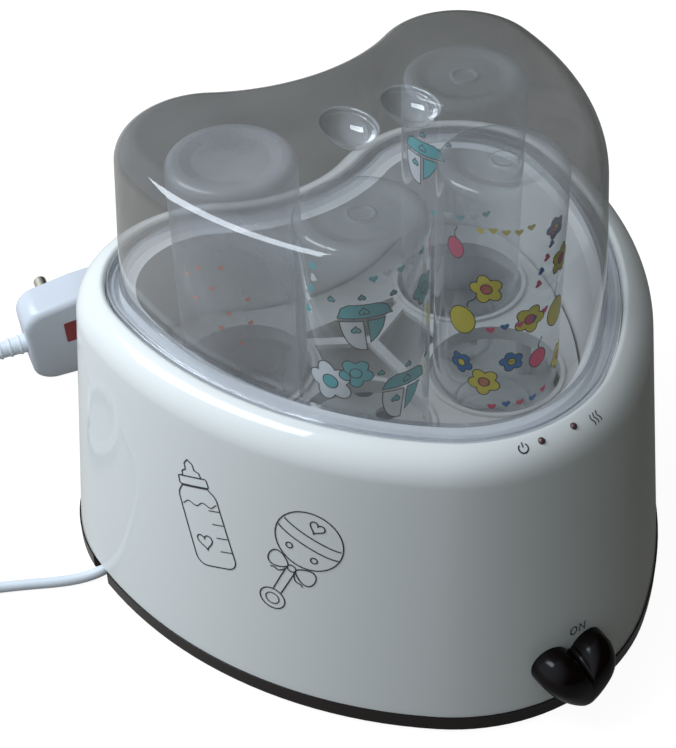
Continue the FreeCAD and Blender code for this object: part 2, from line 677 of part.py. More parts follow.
def lid():
    outer = heartLoft("LidBlock", [("0", "lidFoot"), ("0 - lidTaper", "lidHeight")])
    outer = rounded("LidRounded", outer, "lidRound", edgeAt("lidHeight"))
    inner = heartLoft("LidCore", [("0 - lidWall", "lidFoot - 1"), ("0 - lidTaper - lidWall", "lidHeight - lidWall")])
    inner = rounded("LidCoreRounded", inner, "lidRound - lidWall", edgeAt("lidHeight - lidWall"))
    foot = heartSlab("LidFootPlate", "rimGap - 0.8", "lidFoot", "lidFoot + lidLedge")
    lip = cut("LidLipRing", heartSlab("LidLipOuter", "rimGap - 0.8", "lidFoot + 0.5", "lidFoot + lidLip"),
              heartSlab("LidLipInner", "rimGap - 2.2", "lidFoot", "lidFoot + lidLip + 1"))
    cove = heartLoft("LidCove", [("2.6", "lidFoot + 1"), ("0 - 0.2", "lidFoot + lidLedge + 3.2")])
    bulges, dents = [], []
    for number, side in enumerate(("0 - scoopSide", "scoopSide")):
        for family, name, wall in ((bulges, "ScoopSkin", "lidWall + 0.4"), (dents, "ScoopDent", "0")):
            scoop = doc.addObject("Part::Ellipsoid", f"{name}{number}")
            for radius, size in (("Radius1", "scoopDeep"), ("Radius2", "scoopWide"), ("Radius3", "scoopLong")):
                setattr(scoop, radius, amount(size + " + " + wall))
                scoop.setExpression(radius, bound(size + " + " + wall))
            scoop.Angle1, scoop.Angle2, scoop.Angle3 = -90, 90, 360
            family.append(place(scoop, side, "scoopBack", "lidHeight"))
    inner = cut("LidSpace", inner, *bulges)
    keep("lid", cut("lid", fuse("LidJoined", outer, foot, lip, cove), inner, *dents))


# Lift-out rack: a plate with a collared hole for each bottle, a lower deck and the posts between them

def rack():
    low = "rackTop - rackThick"
    plate = heartSlab("RackBlank", "0 - rackInset", low, "rackTop")
    edge = cut("RackEdge", heartSlab("RackEdgeOuter", "0 - rackInset", "rackTop - 8", "rackTop"),
               heartSlab("RackEdgeInner", "0 - rackInset - 2", "rackTop - 9", "rackTop + 1"))
    collars = [cylinder(f"RackCollar{name}", "rackHole + 2", "rackTop - 6", "rackTop + 1.5", x, y)
               for name, (x, y) in bottlePlaces.items()]
    window = doc.addObject("Part::Feature", "WindowOutline")
    corners = [(0, -26), (27, 14), (27, 58), (-27, 58), (-27, 14)]
    window.Shape = Part.Face(Part.makePolygon([Vector(x, y, amount("rackTop - 8")) for x, y in corners + corners[:1]]))
    prism = doc.addObject("Part::Extrusion", "WindowPrism")
    prism.Base = window
    prism.Dir = upAxis
    prism.DirMode = "Custom"
    prism.LengthFwd = 12
    guards = [cylinder(f"WindowGuard{name}", "rackHole + ringWidth", "rackTop - 10", "rackTop + 6", x, y)
              for name, (x, y) in bottlePlaces.items()]
    for number, angle in enumerate((-90, 30, 150)):
        arm = box(f"WindowArm{number}", (0, 0, "rackTop - 10"), (70, "armWidth", "rackTop + 6"))
        guards.append(place(arm, *armStart(angle), "rackTop - 10", Rotation(upAxis, angle)))
    window = cut("RackWindow", prism, *guards)
    holes = [cylinder(f"RackHole{name}", "rackHole", "rackTop - 13", "rackTop + 7", x, y) for name, (x, y) in bottlePlaces.items()]
    top = cut("rack_plate", fuse("RackJoined", plate, edge, *collars), window, *holes)
    keep("rack_plate", top)
    deck = heartSlab("DeckBlank", "0 - rackInset - 5", "deckTop - deckThick", "deckTop")
    vents = [cylinder(f"DeckHole{name}", 10, "deckTop - 5", "deckTop + 3", x, y) for name, (x, y) in bottlePlaces.items()]
    for number, (x, y) in enumerate(((0, 24), (0, 44), (-18, 10), (18, 10), (0, -8), (-22, 34), (22, 34))):
        vents.append(cylinder(f"DeckVent{number}", 5, "deckTop - 5", "deckTop + 3", x, y))
    keep("rack_deck", cut("rack_deck", deck, *vents))
    posts = []
    for number, (x, y, foot) in enumerate(((0, -58, True), (74, 14, True), (-74, 14, True),
                                           (24, 72, False), (-24, 72, False))):
        posts.append(cylinder(f"RackPost{number}", 4, "deckTop", low, x, y))
        if foot:
            posts.append(cylinder(f"RackFoot{number}", 4, "bowlFloor + 0.4", "deckTop - deckThick", x, y))
    keep("rack_posts", group("rack_posts", *posts))


def armStart(angle):
    """Returns the corner of a spider arm, so that the arm is centred on the hub at (0, 36)."""
    turn = math.radians(angle)
    half = sizes["armWidth"] / 2
    return half * math.sin(turn), 36 - half * math.cos(turn)


# Feeding bottles, upside down with the neck on the deck

def bottles():
    foot, top = "deckTop + 0.4", "bottleTop"
    for name, (x, y) in bottlePlaces.items():
        bottle = turned("bottle_" + name, [
            (0, top + " - 3"), (19, top + " - 3"), (22, top), ("bottleRadius", top),
            ("bottleRadius", "shoulderTop"), ("neckRadius", "neckTop"), ("neckRadius", "neckTop - 3"),
            ("neckRadius + 2", "neckTop - 4"), ("neckRadius + 2", "neckTop - 6"), ("neckRadius", "neckTop - 7"),
            ("neckRadius", foot), ("neckRadius - 2", foot), ("neckRadius - 2", "neckTop + 0.6"),
            ("bottleRadius - bottleWall", "shoulderTop + 0.8"),
            ("bottleRadius - bottleWall", top + " - bottleWall"),
            (22.8, top + " - bottleWall"), (19.8, top + " - 3 - bottleWall"), (0, top + " - 3 - bottleWall")], x, y)
        bottle = softened(bottle, 5, circleAt("bottleRadius", top))
        bottle = softened(bottle, 3, circleAt("bottleRadius - bottleWall", top + " - bottleWall"))
        bottle = softened(bottle, 9, circleAt("bottleRadius", "shoulderTop"))
        keep("bottle_" + name, bottle)


# Mains lead: gland, lead on the table, put-away coil and plug

plugHalf = 26.8         # half the width of the plug at its middle
plugTaper = 0.07        # how fast it widens away from the cord
plugFlare = 0.12        # how fast it widens towards the pins
plugLong = 28
plugDeep = 10.3
plugYaw = -9.4
plugLean = Rotation(Vector(plugTaper, plugFlare, 1), upAxis)
plugMiddle = Vector(-82.2, 210.3, plugHalf / math.hypot(plugTaper, plugFlare, 1))
plugPlace = Placement(plugMiddle, Rotation(upAxis, plugYaw).multiply(plugLean))
reliefTip = plugPlace.multVec(Vector(-62, 0, 0))


def onPlug(thing, x=0, y=0, z=0, rotation=None):
    """Moves a sub-part from the plug's own axes to where the plug lies."""
    thing.Placement = plugPlace.multiply(Placement(Vector(x, y, z), rotation or Rotation()))
    return thing


def mainsLead():
    pointLeft = Rotation(Vector(0, 1, 0), -90)
    taper = doc.addObject("Part::Cone", "GlandTail")
    taper.Radius1, taper.Radius2, taper.Height = 5.2, 3.5, channelEnd - glandTip
    place(taper, channelEnd, channelBack, glandHeight, pointLeft)
    neck = place(cylinder("GlandNeck", 3.5, 0, 4), channelEnd + 2.6, channelBack, glandHeight, pointLeft)
    lug = place(cylinder("GlandLug", 3.9, 0, 1.4), channelEnd + 3.4, channelBack, glandHeight, pointLeft)
    keep("cord_gland", fuse("cord_gland", taper, neck, lug))
    leadPoints = [(glandTip, channelBack, glandHeight), (-133, 57, 8), (-142, 57, 4.8), (-152, 59.6, 2.75),
                  (-163, 63.5, 2.72), (-176, 70, 2.75), (-190, 76.5, 2.72), (-206, 83, 2.75),
                  (-221, 94, 2.72), (-231, 111, 2.75), (-235.5, 131.5, 2.72), (-235.7, 152, 2.75)]
    keep("cord_lead", tube("cord_lead", leadPoints, "cordRadius"))
    inner, outer = "coilRadius - cordRadius - cordRadius", "coilRadius + cordRadius + cordRadius"
    coil = turned("CoilRing", [(inner, "coilFoot + 1.2"), (inner + " + 1.2", "coilFoot"),
                               (outer + " - 1.2", "coilFoot"), (outer, "coilFoot + 1.2"),
                               (outer, "coilFoot + 9.6"), (outer + " - 1.2", "coilFoot + 10.8"),
                               (inner + " + 1.2", "coilFoot + 10.8"), (inner, "coilFoot + 9.6")],
                  "0 - coilSide", "coilBack")
    keep("cord_coil", coil)
    band = rounded("TieBlock", box("TieBox", (-6.4, -2.3, 0), (6.4, 2.3, 12.4)), 2,
                   lambda edge: edge.BoundBox.YLength > 4)
    core = rounded("TieCore", box("TieSpace", (-5.6, -3, "coilFoot"), (5.6, 3, 11.6)), 1.2,
                   lambda edge: edge.BoundBox.YLength > 4)
    tie = fuse("TieStrap", cut("TieBand", band, core), box("TieHead", (-3.2, -2.8, 11.7), (3.2, 2.8, 15.2)))
    keep("coil_tie", place(tie, "0 - coilSide + coilRadius", "coilBack"))
    tailPoints = [tuple(reliefTip)]
    for bearing, fall in ((-9.4, 4), (8, 12), (26, 20), (44, 16), (44, 8), (30, 3)):
        run = Rotation(upAxis, 180 + bearing).multVec(Vector(math.cos(math.radians(fall)), 0,
                                                             -math.sin(math.radians(fall))))
        tailPoints.append(tuple(Vector(*tailPoints[-1]) + run * 12))
    keep("cord_tail", tube("cord_tail", tailPoints, "cordRadius"))


def plugSection(name, depth, inset):
    """Draws the plug's outline, wider away from the cord and towards the pins, at a depth along the pins."""
    reach = plugLong - inset
    corners = [Vector(along, depth, side * (plugHalf + plugTaper * along + plugFlare * depth - inset))
               for along, side in ((-reach, -1), (reach, -1), (reach, 1), (-reach, 1))]
    outline = doc.addObject("Part::Feature", name)
    outline.Shape = Part.makePolygon(corners + corners[:1])
    return outline


def plug():
    block = doc.addObject("Part::Loft", "PlugBlock")
    block.Sections = [plugSection("PlugRear", -plugDeep, 0), plugSection("PlugFront", plugDeep, 0)]
    block.Solid = True
    block.Ruled = True
    block = rounded("PlugCorners", block, 9, lambda edge: edge.BoundBox.YLength > plugDeep)
    isRear = lambda edge: abs(edge.BoundBox.YMax + plugDeep) < 0.01
    keep("plug_body", onPlug(rounded("PlugRounded", block, 3, isRear)))
    face = doc.addObject("Part::Extrusion", "PlugFacePlate")
    face.Base = plugSection("PlugFaceOutline", -plugDeep - 1, 3.4)
    face.DirMode = "Custom"
    face.Dir = Vector(0, 1, 0)
    face.LengthFwd = 1
    face.Solid = True
    face = rounded("PlugFaceRounded", face, 6, lambda edge: edge.BoundBox.YLength > 0.5)
    keep("plug_cover", onPlug(face))
    flag = doc.addObject("Part::Box", "PlugFlag")
    flag.Length, flag.Width, flag.Height = 9, 0.6, 12
    keep("plug_fuse_flag", onPlug(flag, 3, -plugDeep - 1.6, -4))
    pins = []
    for number, (x, z) in enumerate(((-11, 12.7), (-11, -12.7), (15, 0))):
        pin = doc.addObject("Part::Cylinder", f"PlugPin{number}")
        pin.Radius, pin.Height = 3.5, 20
        pin = rounded(f"PlugPinRounded{number}", pin, 1.2, edgeAt(20))
        pins.append(onPlug(pin, x, plugDeep, z, Rotation(Vector(1, 0, 0), -90)))
    keep("plug_pins", group("plug_pins", *pins))
    pointLeft = Rotation(Vector(0, 1, 0), -90)
    taper = doc.addObject("Part::Cone", "ReliefTaper")
    taper.Radius1, taper.Radius2, taper.Height = 5.4, 3.4, 34.5
    pieces = [onPlug(taper, -27.5, 0, 0, pointLeft)]
    for number in range(5):
        rib = doc.addObject("Part::Torus", f"ReliefRib{number}")
        rib.Radius1, rib.Radius2 = 4.6 - 0.3 * number, 1
        pieces.append(onPlug(rib, -33 - 5.5 * number, 0, 0, pointLeft))
    keep("plug_relief", fuse("plug_relief", *pieces))


baseShell()
lamps()
bottomCover()
waterBowl()
heater()
wiring()
switch()
lid()
rack()
bottles()
mainsLead()
plug()
doc.recompute()

for item in doc.Objects:
    if "Invalid" in item.State or "Error" in item.State:
        raise RuntimeError(f"{item.Label} failed: {item.State}")
for name, item in parts.items():
    if item.Shape.isNull() or not item.Shape.isValid() or item.Shape.Volume <= 0:
        raise RuntimeError(f"{name} has no valid solid")

os.makedirs("parts", exist_ok=True)
for name, item in parts.items():
    item.Shape.exportStep(f"parts/{name}.step")
    print(f"{name}: {len(item.Shape.Solids)} solid(s), {item.Shape.Volume / 1000:.1f} cm3")
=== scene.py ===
import math
import bmesh
import bpy
from mathutils import Matrix, Vector
from mathutils.geometry import tessellate_polygon


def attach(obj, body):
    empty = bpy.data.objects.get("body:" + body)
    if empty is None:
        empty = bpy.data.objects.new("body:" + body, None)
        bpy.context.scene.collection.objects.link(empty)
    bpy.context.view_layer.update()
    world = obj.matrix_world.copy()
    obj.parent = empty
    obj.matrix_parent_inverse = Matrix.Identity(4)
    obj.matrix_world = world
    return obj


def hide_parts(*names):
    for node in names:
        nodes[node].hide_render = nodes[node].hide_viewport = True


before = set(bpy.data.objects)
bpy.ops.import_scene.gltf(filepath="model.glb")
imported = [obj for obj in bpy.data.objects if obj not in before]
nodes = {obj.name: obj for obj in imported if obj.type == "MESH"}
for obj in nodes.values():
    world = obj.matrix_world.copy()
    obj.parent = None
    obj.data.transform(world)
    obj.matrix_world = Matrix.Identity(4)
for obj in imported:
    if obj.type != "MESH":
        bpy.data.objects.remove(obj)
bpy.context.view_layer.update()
mm = 0.001

# Lengths are in millimetres, apart from those of the studio, and angles are in degrees


# Camera at the photo's angle, for a 676 x 748 picture

cameraSetup = {"azimuth": -30.27, "elevation": 40.81, "roll": -1.89, "distance": 850.38,
               "target": (-8.24, 54.68, 69.33), "focalPixels": 1730.72, "pictureWidth": 676,
               "sensorWidth": 36, "sees": 20}  # how far it sees, in metres


def makeCamera():
    a, e, roll = [math.radians(cameraSetup[key]) for key in ("azimuth", "elevation", "roll")]
    back = Vector((math.sin(a) * math.cos(e), -math.cos(a) * math.cos(e), math.sin(e)))
    right = Vector((math.cos(a), math.sin(a), 0))
    up = back.cross(right)
    tiltedRight = right * math.cos(roll) + up * math.sin(roll)
    tiltedUp = up * math.cos(roll) - right * math.sin(roll)
    data = bpy.data.cameras.new("photoCamera")
    data.sensor_fit = "HORIZONTAL"
    data.sensor_width = cameraSetup["sensorWidth"]
    data.lens = cameraSetup["sensorWidth"] * cameraSetup["focalPixels"] / cameraSetup["pictureWidth"]
    data.clip_end = cameraSetup["sees"]
    camera = bpy.data.objects.new("photoCamera", data)
    bpy.context.scene.collection.objects.link(camera)
    turn = Matrix((tiltedRight, tiltedUp, back)).transposed().to_4x4()
    place = (Vector(cameraSetup["target"]) + back * cameraSetup["distance"]) * mm
    camera.matrix_world = Matrix.Translation(place) @ turn
    bpy.context.scene.camera = camera


makeCamera()
print("camera stands")


# Materials. These two hold what all the moulded ones and all the clear ones share

mouldedLook = {"cloudScale": 22, "glossRange": (0.85, 1.2), "bumpDepth": 0.0004, "coatRoughness": 0.04}
clearLook = {"leastGloss": 0.045, "innerLoss": 0.8, "cloudScale": 30, "cloudRange": (0.3, 0.7),
             "hazeRange": (0.6, 1.4), "shadow": (0.84, 0.84, 0.84, 1)}


# Linear colour from sRGB 0-255, as seen on the object in plain light
def colour(red, green, blue):
    shares = [value / 255 for value in (red, green, blue)]
    return [v / 12.92 if v < 0.04 else ((v + 0.055) / 1.055) ** 2.4 for v in shares] + [1]


def newMaterial(name):
    material = bpy.data.materials.new(name)
    material.use_nodes = True
    tree = material.node_tree
    return material, tree, tree.nodes["Principled BSDF"]


def node(tree, kind, inputs=None, **settings):
    made = tree.nodes.new(kind)
    for key, value in settings.items():
        setattr(made, key, value)
    for key, value in (inputs or {}).items():
        made.inputs[key].default_value = value
    return made


# Moulded or worked surface: slight mottling of the colour, fine grain and uneven gloss
def moulded(name, base, roughness, mottle, grain, bump, coat=0.0, metallic=0.0, shine=0.5):
    material, tree, shader = newMaterial(name)
    place = node(tree, "ShaderNodeTexCoord")
    cloud = node(tree, "ShaderNodeTexNoise", {"Scale": mouldedLook["cloudScale"], "Detail": 3})
    fine = node(tree, "ShaderNodeTexNoise", {"Scale": grain, "Detail": 2})
    tree.links.new(place.outputs["Object"], cloud.inputs["Vector"])
    tree.links.new(place.outputs["Object"], fine.inputs["Vector"])
    tint = node(tree, "ShaderNodeMix", data_type="RGBA")
    tint.inputs["A"].default_value = [v * (1 - mottle) for v in base[:3]] + [1]
    tint.inputs["B"].default_value = [min(1, v * (1 + mottle)) for v in base[:3]] + [1]
    tree.links.new(cloud.outputs["Fac"], tint.inputs["Factor"])
    tree.links.new(tint.outputs["Result"], shader.inputs["Base Color"])
    smooth, rough = [roughness * share for share in mouldedLook["glossRange"]]
    gloss = node(tree, "ShaderNodeMapRange", {"To Min": smooth, "To Max": rough})
    tree.links.new(cloud.outputs["Fac"], gloss.inputs["Value"])
    tree.links.new(gloss.outputs["Result"], shader.inputs["Roughness"])
    dimple = node(tree, "ShaderNodeBump", {"Strength": bump, "Distance": mouldedLook["bumpDepth"]})
    tree.links.new(fine.outputs["Fac"], dimple.inputs["Height"])
    tree.links.new(dimple.outputs["Normal"], shader.inputs["Normal"])
    shader.inputs["Metallic"].default_value = metallic
    shader.inputs["Specular IOR Level"].default_value = shine
    shader.inputs["Coat Weight"].default_value = coat
    shader.inputs["Coat Roughness"].default_value = mouldedLook["coatRoughness"]
    return material


# Thin clear plastic, see-through with the colour tint, or deep where it is seen at a slant. Its gloss grows
# with the slant and is weaker on the inside, and a little haze lies over it. Its shadow is lighter than it
# looks, so that what stands inside isn't dark
def clear(name, tint, deep, haze, milk, shine, edge, roughness, rimmed=2.2, rimLight=0.0):
    material, tree, shader = newMaterial(name)
    tree.nodes.remove(shader)
    through = node(tree, "ShaderNodeBsdfTransparent", {"Color": tint})
    dark = node(tree, "ShaderNodeBsdfTransparent", {"Color": deep})
    polish = node(tree, "ShaderNodeBsdfGlossy", {"Color": (1, 1, 1, 1), "Roughness": roughness})
    cloudy = node(tree, "ShaderNodeBsdfDiffuse", {"Color": milk})
    facing = node(tree, "ShaderNodeLayerWeight", {"Blend": 0.5})
    slant = node(tree, "ShaderNodeMath", {1: rimmed}, operation="POWER")
    power = node(tree, "ShaderNodeMath", {1: edge}, operation="POWER")
    scale = node(tree, "ShaderNodeMath", {1: shine, 2: clearLook["leastGloss"]}, operation="MULTIPLY_ADD")
    misty = node(tree, "ShaderNodeMath", {1: rimLight}, operation="MULTIPLY_ADD")
    rays = node(tree, "ShaderNodeLightPath")
    side = node(tree, "ShaderNodeNewGeometry")
    outer = node(tree, "ShaderNodeMath", {1: -clearLook["innerLoss"], 2: 1}, operation="MULTIPLY_ADD")
    gloss = node(tree, "ShaderNodeMath", operation="MULTIPLY")
    place = node(tree, "ShaderNodeTexCoord")
    cloud = node(tree, "ShaderNodeTexNoise", {"Scale": clearLook["cloudScale"], "Detail": 4})
    low, high = clearLook["cloudRange"]
    least, most = [haze * share for share in clearLook["hazeRange"]]
    amount = node(tree, "ShaderNodeMapRange", {"From Min": low, "From Max": high,
                                               "To Min": least, "To Max": most})
    free = node(tree, "ShaderNodeBsdfTransparent", {"Color": clearLook["shadow"]})
    glass, hazy, whole, lit = [node(tree, "ShaderNodeMixShader") for layer in range(4)]
    link = tree.links.new
    link(facing.outputs["Facing"], slant.inputs[0])
    link(facing.outputs["Facing"], power.inputs[0])
    link(power.outputs[0], scale.inputs[0])
    link(side.outputs["Backfacing"], outer.inputs[0])
    link(scale.outputs[0], gloss.inputs[0])
    link(outer.outputs[0], gloss.inputs[1])
    link(place.outputs["Object"], cloud.inputs["Vector"])
    link(cloud.outputs["Fac"], amount.inputs["Value"])
    link(slant.outputs[0], misty.inputs[0])
    link(amount.outputs["Result"], misty.inputs[2])
    for mix, factor, first, second in ((glass, slant.outputs[0], through, dark),
                                       (hazy, misty.outputs[0], glass, cloudy),
                                       (whole, gloss.outputs[0], hazy, polish),
                                       (lit, rays.outputs["Is Shadow Ray"], whole, free)):
        link(factor, mix.inputs[0])
        link(first.outputs[0], mix.inputs[1])
        link(second.outputs[0], mix.inputs[2])
    link(lit.outputs[0], tree.nodes["Material Output"].inputs["Surface"])
    return material


# Colour, roughness, mottling of the colour, fineness of the grain and its depth
finishes = {
    "ivory": moulded("ivoryPlastic", colour(228, 228, 223), 0.36, 0.012, 500, 0.01, coat=0.7, shine=0.25),
    "brown": moulded("brownPlastic", colour(26, 16, 13), 0.25, 0.08, 500, 0.01, shine=0.3),
    "cherry": moulded("buttonPlastic", colour(14, 6, 6), 0.16, 0.1, 500, 0.01, shine=0.2),
    "white": moulded("whitePlastic", colour(243, 243, 241), 0.3, 0.02, 900, 0.02),
    # The rack is the bowl's white plastic drawn darker: painted shade, for the dimmer light it gets under
    # the lid
    "rack": moulded("rackPlasticShaded", colour(206, 206, 203), 0.28, 0.02, 900, 0.02),
    "feet": moulded("footRubber", colour(38, 38, 38), 0.7, 0.1, 1500, 0.2),
    "screw": moulded("screwSteel", colour(190, 190, 190), 0.3, 0.1, 2000, 0.1, metallic=1),
    "plate": moulded("plateSteel", colour(200, 200, 200), 0.25, 0.06, 3000, 0.15, metallic=1),
    "seal": moulded("sealRubber", colour(215, 212, 204), 0.6, 0.04, 1500, 0.15),
    "can": moulded("canAluminium", colour(205, 205, 205), 0.32, 0.05, 2500, 0.1, metallic=1),
    "inner": moulded("innerPlastic", colour(212, 208, 198), 0.45, 0.05, 1200, 0.08),
    "black": moulded("blackPlastic", colour(30, 30, 31), 0.4, 0.1, 1500, 0.1),
    "wire": moulded("wireInsulation", colour(150, 60, 40), 0.35, 0.06, 2000, 0.05),
    "board": moulded("lampBoard", colour(45, 105, 70), 0.35, 0.08, 2500, 0.1),
    "lamp": moulded("lampRed", colour(86, 58, 58), 0.1, 0.1, 900, 0.02, coat=0.6),
    "led": moulded("ledClear", colour(235, 190, 150), 0.15, 0.05, 900, 0.02),
    "cord": moulded("cordWhite", colour(222, 226, 230), 0.42, 0.03, 2500, 0.06),
    "plug": moulded("plugWhite", colour(208, 211, 217), 0.3, 0.02, 1200, 0.03),
    "flag": moulded("flagRed", colour(140, 22, 26), 0.2, 0.15, 1500, 0.05),
    "pin": moulded("pinBrass", colour(192, 186, 168), 0.35, 0.08, 3000, 0.08, metallic=1),
    "ink": moulded("darkInk", colour(34, 33, 40), 0.4, 0.1, 2500, 0.02),
    "printWhite": moulded("printWhite", colour(224, 228, 230), 0.4, 0.03, 2000, 0.02),
    "printTeal": moulded("printTeal", colour(86, 178, 184), 0.4, 0.06, 2000, 0.02),
    "printYellow": moulded("printYellow", colour(206, 190, 62), 0.4, 0.06, 2000, 0.02),
    "printBlue": moulded("printBlue", colour(44, 104, 160), 0.4, 0.06, 2000, 0.02),
    "printPink": moulded("printPink", colour(206, 72, 106), 0.4, 0.06, 2000, 0.02),
    "printOrange": moulded("printOrange", colour(226, 140, 112), 0.4, 0.06, 2000, 0.02),
    "lid": clear("lidSmoke", (0.84, 0.84, 0.84, 1), (0.58, 0.58, 0.59, 1), haze=0.095,
                 milk=colour(194, 185, 178), shine=0.65, edge=3.2, roughness=0.035, rimLight=0.1),
    # The scoops are the lid's smoke plastic drawn clearer and milkier: painted light, for the highlights
    # they catch
    "scoop": clear("lidScoop", (0.96, 0.96, 0.96, 1), (0.8, 0.8, 0.82, 1), haze=0.17,
                   milk=colour(206, 208, 210), shine=1, edge=2.4, roughness=0.06),
    # The lid's foot is its smoke plastic drawn clearer face-on: painted light over the shaded recess seen
    # through it
    "lidFootLightened": clear("lidFootLightened", (0.88, 0.885, 0.9, 1), (0.5, 0.51, 0.53, 1), haze=0.06,
                     milk=colour(196, 204, 214), shine=1, edge=1.6, roughness=0.04),
    "bottle": clear("bottleClear", (0.95, 0.96, 0.965, 1), (0.42, 0.45, 0.5, 1), haze=0.06,
                    milk=colour(220, 228, 234), shine=0.8, edge=2.6, roughness=0.05, rimmed=5,
                    rimLight=0.45),
    "frosted": clear("bottleFrosted", (0.9, 0.905, 0.92, 1), (0.72, 0.73, 0.75, 1), haze=0.26,
                     milk=colour(214, 216, 220), shine=0.35, edge=2.4, roughness=0.3),
}

# Pieces that come from the CAD as they are
carried = {
    "white": ["water_bowl"],
    # The rack takes the darker copy of the white plastic, with painted shade
    "rack": ["rack_plate", "rack_deck", "rack_posts"],
    "brown": ["bottom_cover"],
    "feet": ["rubber_feet"],
    "screw": ["cover_screws", "clamp_screws", "button_spring"],
    "plate": ["heating_plate", "clamp_ring", "heating_element"],
    "seal": ["plate_seal"],
    "can": ["thermostat"],
    "inner": ["thermal_fuse", "terminal_block", "button_stem", "switch_housing"],
    "black": ["microswitch", "coil_tie"],
    "wire": ["heater_wires", "lamp_wires"],
    "board": ["lamp_board"],
    "led": ["lamp_leds"],
    "lamp": ["power_lamp_lens", "steam_lamp_lens"],
    "cord": ["inner_lead", "cord_gland", "plug_relief"],
    "pin": ["plug_pins"],
}
for finish, names in carried.items():
    for name in names:
        nodes[name].data.materials.clear()
        nodes[name].data.materials.append(finishes[finish])
print("materials are mixed")


# Heart outlines, of the lid and the housing together and of the button: arcs that run into one another

heartOutline = {"noseRadius": 62.5, "noseFront": 30.4, "lobeRadius": 44.5, "lobeSide": 65, "lobeBack": 62.1,
                "sideRadius": 180, "cleftRadius": 83}
buttonOutline = {"noseRadius": 7, "noseFront": 10, "lobeRadius": 9.6, "lobeSide": 9.6, "lobeBack": 5,
                 "sideRadius": 45, "cleftRadius": 2}


# Arcs in the order nose, right side, right lobe, cleft, left lobe, left side
def heartArcs(shape):
    nose = Vector((0, -shape["noseFront"]))
    lobe = Vector((shape["lobeSide"], shape["lobeBack"]))
    gap = lobe - nose
    fromNose = shape["sideRadius"] - shape["noseRadius"]
    fromLobe = shape["sideRadius"] - shape["lobeRadius"]
    along = (fromNose ** 2 - fromLobe ** 2 + gap.length ** 2) / (2 * gap.length)
    across = math.sqrt(fromNose ** 2 - along ** 2)
    unit = gap.normalized()
    side = nose + unit * along + Vector((-unit.y, unit.x)) * across
    cleft = Vector((0, lobe.y + math.sqrt((shape["lobeRadius"] + shape["cleftRadius"]) ** 2 - lobe.x ** 2)))
    sideStart = math.atan2(nose.y - side.y, nose.x - side.x)
    sideEnd = math.atan2(lobe.y - side.y, lobe.x - side.x)
    lobeEnd = math.atan2(cleft.y - lobe.y, cleft.x - lobe.x)
    flip = lambda p: Vector((-p.x, p.y))
    return [(nose, shape["noseRadius"], -math.pi - sideStart, sideStart, 1),
            (side, shape["sideRadius"], sideStart, sideEnd, 1),
            (lobe, shape["lobeRadius"], sideEnd, lobeEnd, 1),
            (cleft, shape["cleftRadius"], lobeEnd + math.pi, 2 * math.pi - lobeEnd, -1),
            (flip(lobe), shape["lobeRadius"], math.pi - lobeEnd, math.pi - sideEnd, 1),
            (flip(side), shape["sideRadius"], math.pi - sideEnd, math.pi - sideStart, 1)]


# Points round the heart, moved outward by offset, with a count of them for each arc
def heartRing(offset, shape=heartOutline, counts=(44, 44, 60, 32, 60, 44)):
    ring = []
    for (centre, radius, start, end, sign), count in zip(heartArcs(shape), counts):
        for step in range(count):
            angle = start + (end - start) * step / count
            ring.append(centre + Vector((math.cos(angle), math.sin(angle))) * (radius + sign * offset))
    return ring


def finishMesh(name, mesh, material, body, smoothAngle=40):
    mesh.polygons.foreach_set("use_smooth", [True] * len(mesh.polygons))
    mesh.set_sharp_from_angle(angle=math.radians(smoothAngle))
    mesh.materials.clear()
    mesh.materials.append(material)
    thing = bpy.data.objects.new(name, mesh)
    bpy.context.scene.collection.objects.link(thing)
    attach(thing, body)
    return thing


# Profile of (a, b) or (a, b, radius) corners, with the corners that have a radius rounded
def roundCorners(points, steps=6):
    result = []
    for index, corner in enumerate(points):
        here = Vector(corner[:2])
        if len(corner) < 3 or index in (0, len(points) - 1):
            result.append(tuple(here))
            continue
        back = (Vector(points[index - 1][:2]) - here).normalized()
        ahead = (Vector(points[index + 1][:2]) - here).normalized()
        half = back.angle(ahead) / 2
        reach = corner[2] / math.tan(half)
        middle = here + (back + ahead).normalized() * corner[2] / math.sin(half)
        start, end = here + back * reach - middle, here + ahead * reach - middle
        for step in range(steps + 1):
            way = start.lerp(end, step / steps)
            result.append(tuple(middle + way.normalized() * corner[2]))
    return result


# Arc of a profile about (a, b), between two angles in degrees
def arc(a, b, radius, start, end, steps):
    turns = [math.radians(start + (end - start) * step / steps) for step in range(steps + 1)]
    return [(a + radius * math.cos(turn), b + radius * math.sin(turn)) for turn in turns]


def pointIn(mesh, x, y, z):
    return mesh.verts.new((x * mm, y * mm, z * mm))


# Mesh of a profile of (offset, height) carried round the heart, and its rows of points
def sweepHeart(profile, closed=False):
    mesh = bmesh.new()
    rows = [[pointIn(mesh, p.x, p.y, height) for p in heartRing(offset)] for offset, height in profile]
    for low, high in list(zip(rows, rows[1:])) + ([(rows[-1], rows[0])] if closed else []):
        joinRows(mesh, low, high)
    return mesh, rows


def joinRows(mesh, low, high):
    for i in range(len(low)):
        j = (i + 1) % len(low)
        mesh.faces.new(list(dict.fromkeys((low[i], low[j], high[j], high[i]))))


def toMesh(name, mesh):
    bmesh.ops.recalc_face_normals(mesh, faces=mesh.faces)
    data = bpy.data.meshes.new(name)
    mesh.to_mesh(data)
    mesh.free()
    return data


# Mains lead: it leaves under the left lobe, lies on the table, is put away in a coil and ends in the plug.
# Bearings and falls are in degrees, one for each piece of the run from the plug down to the coil

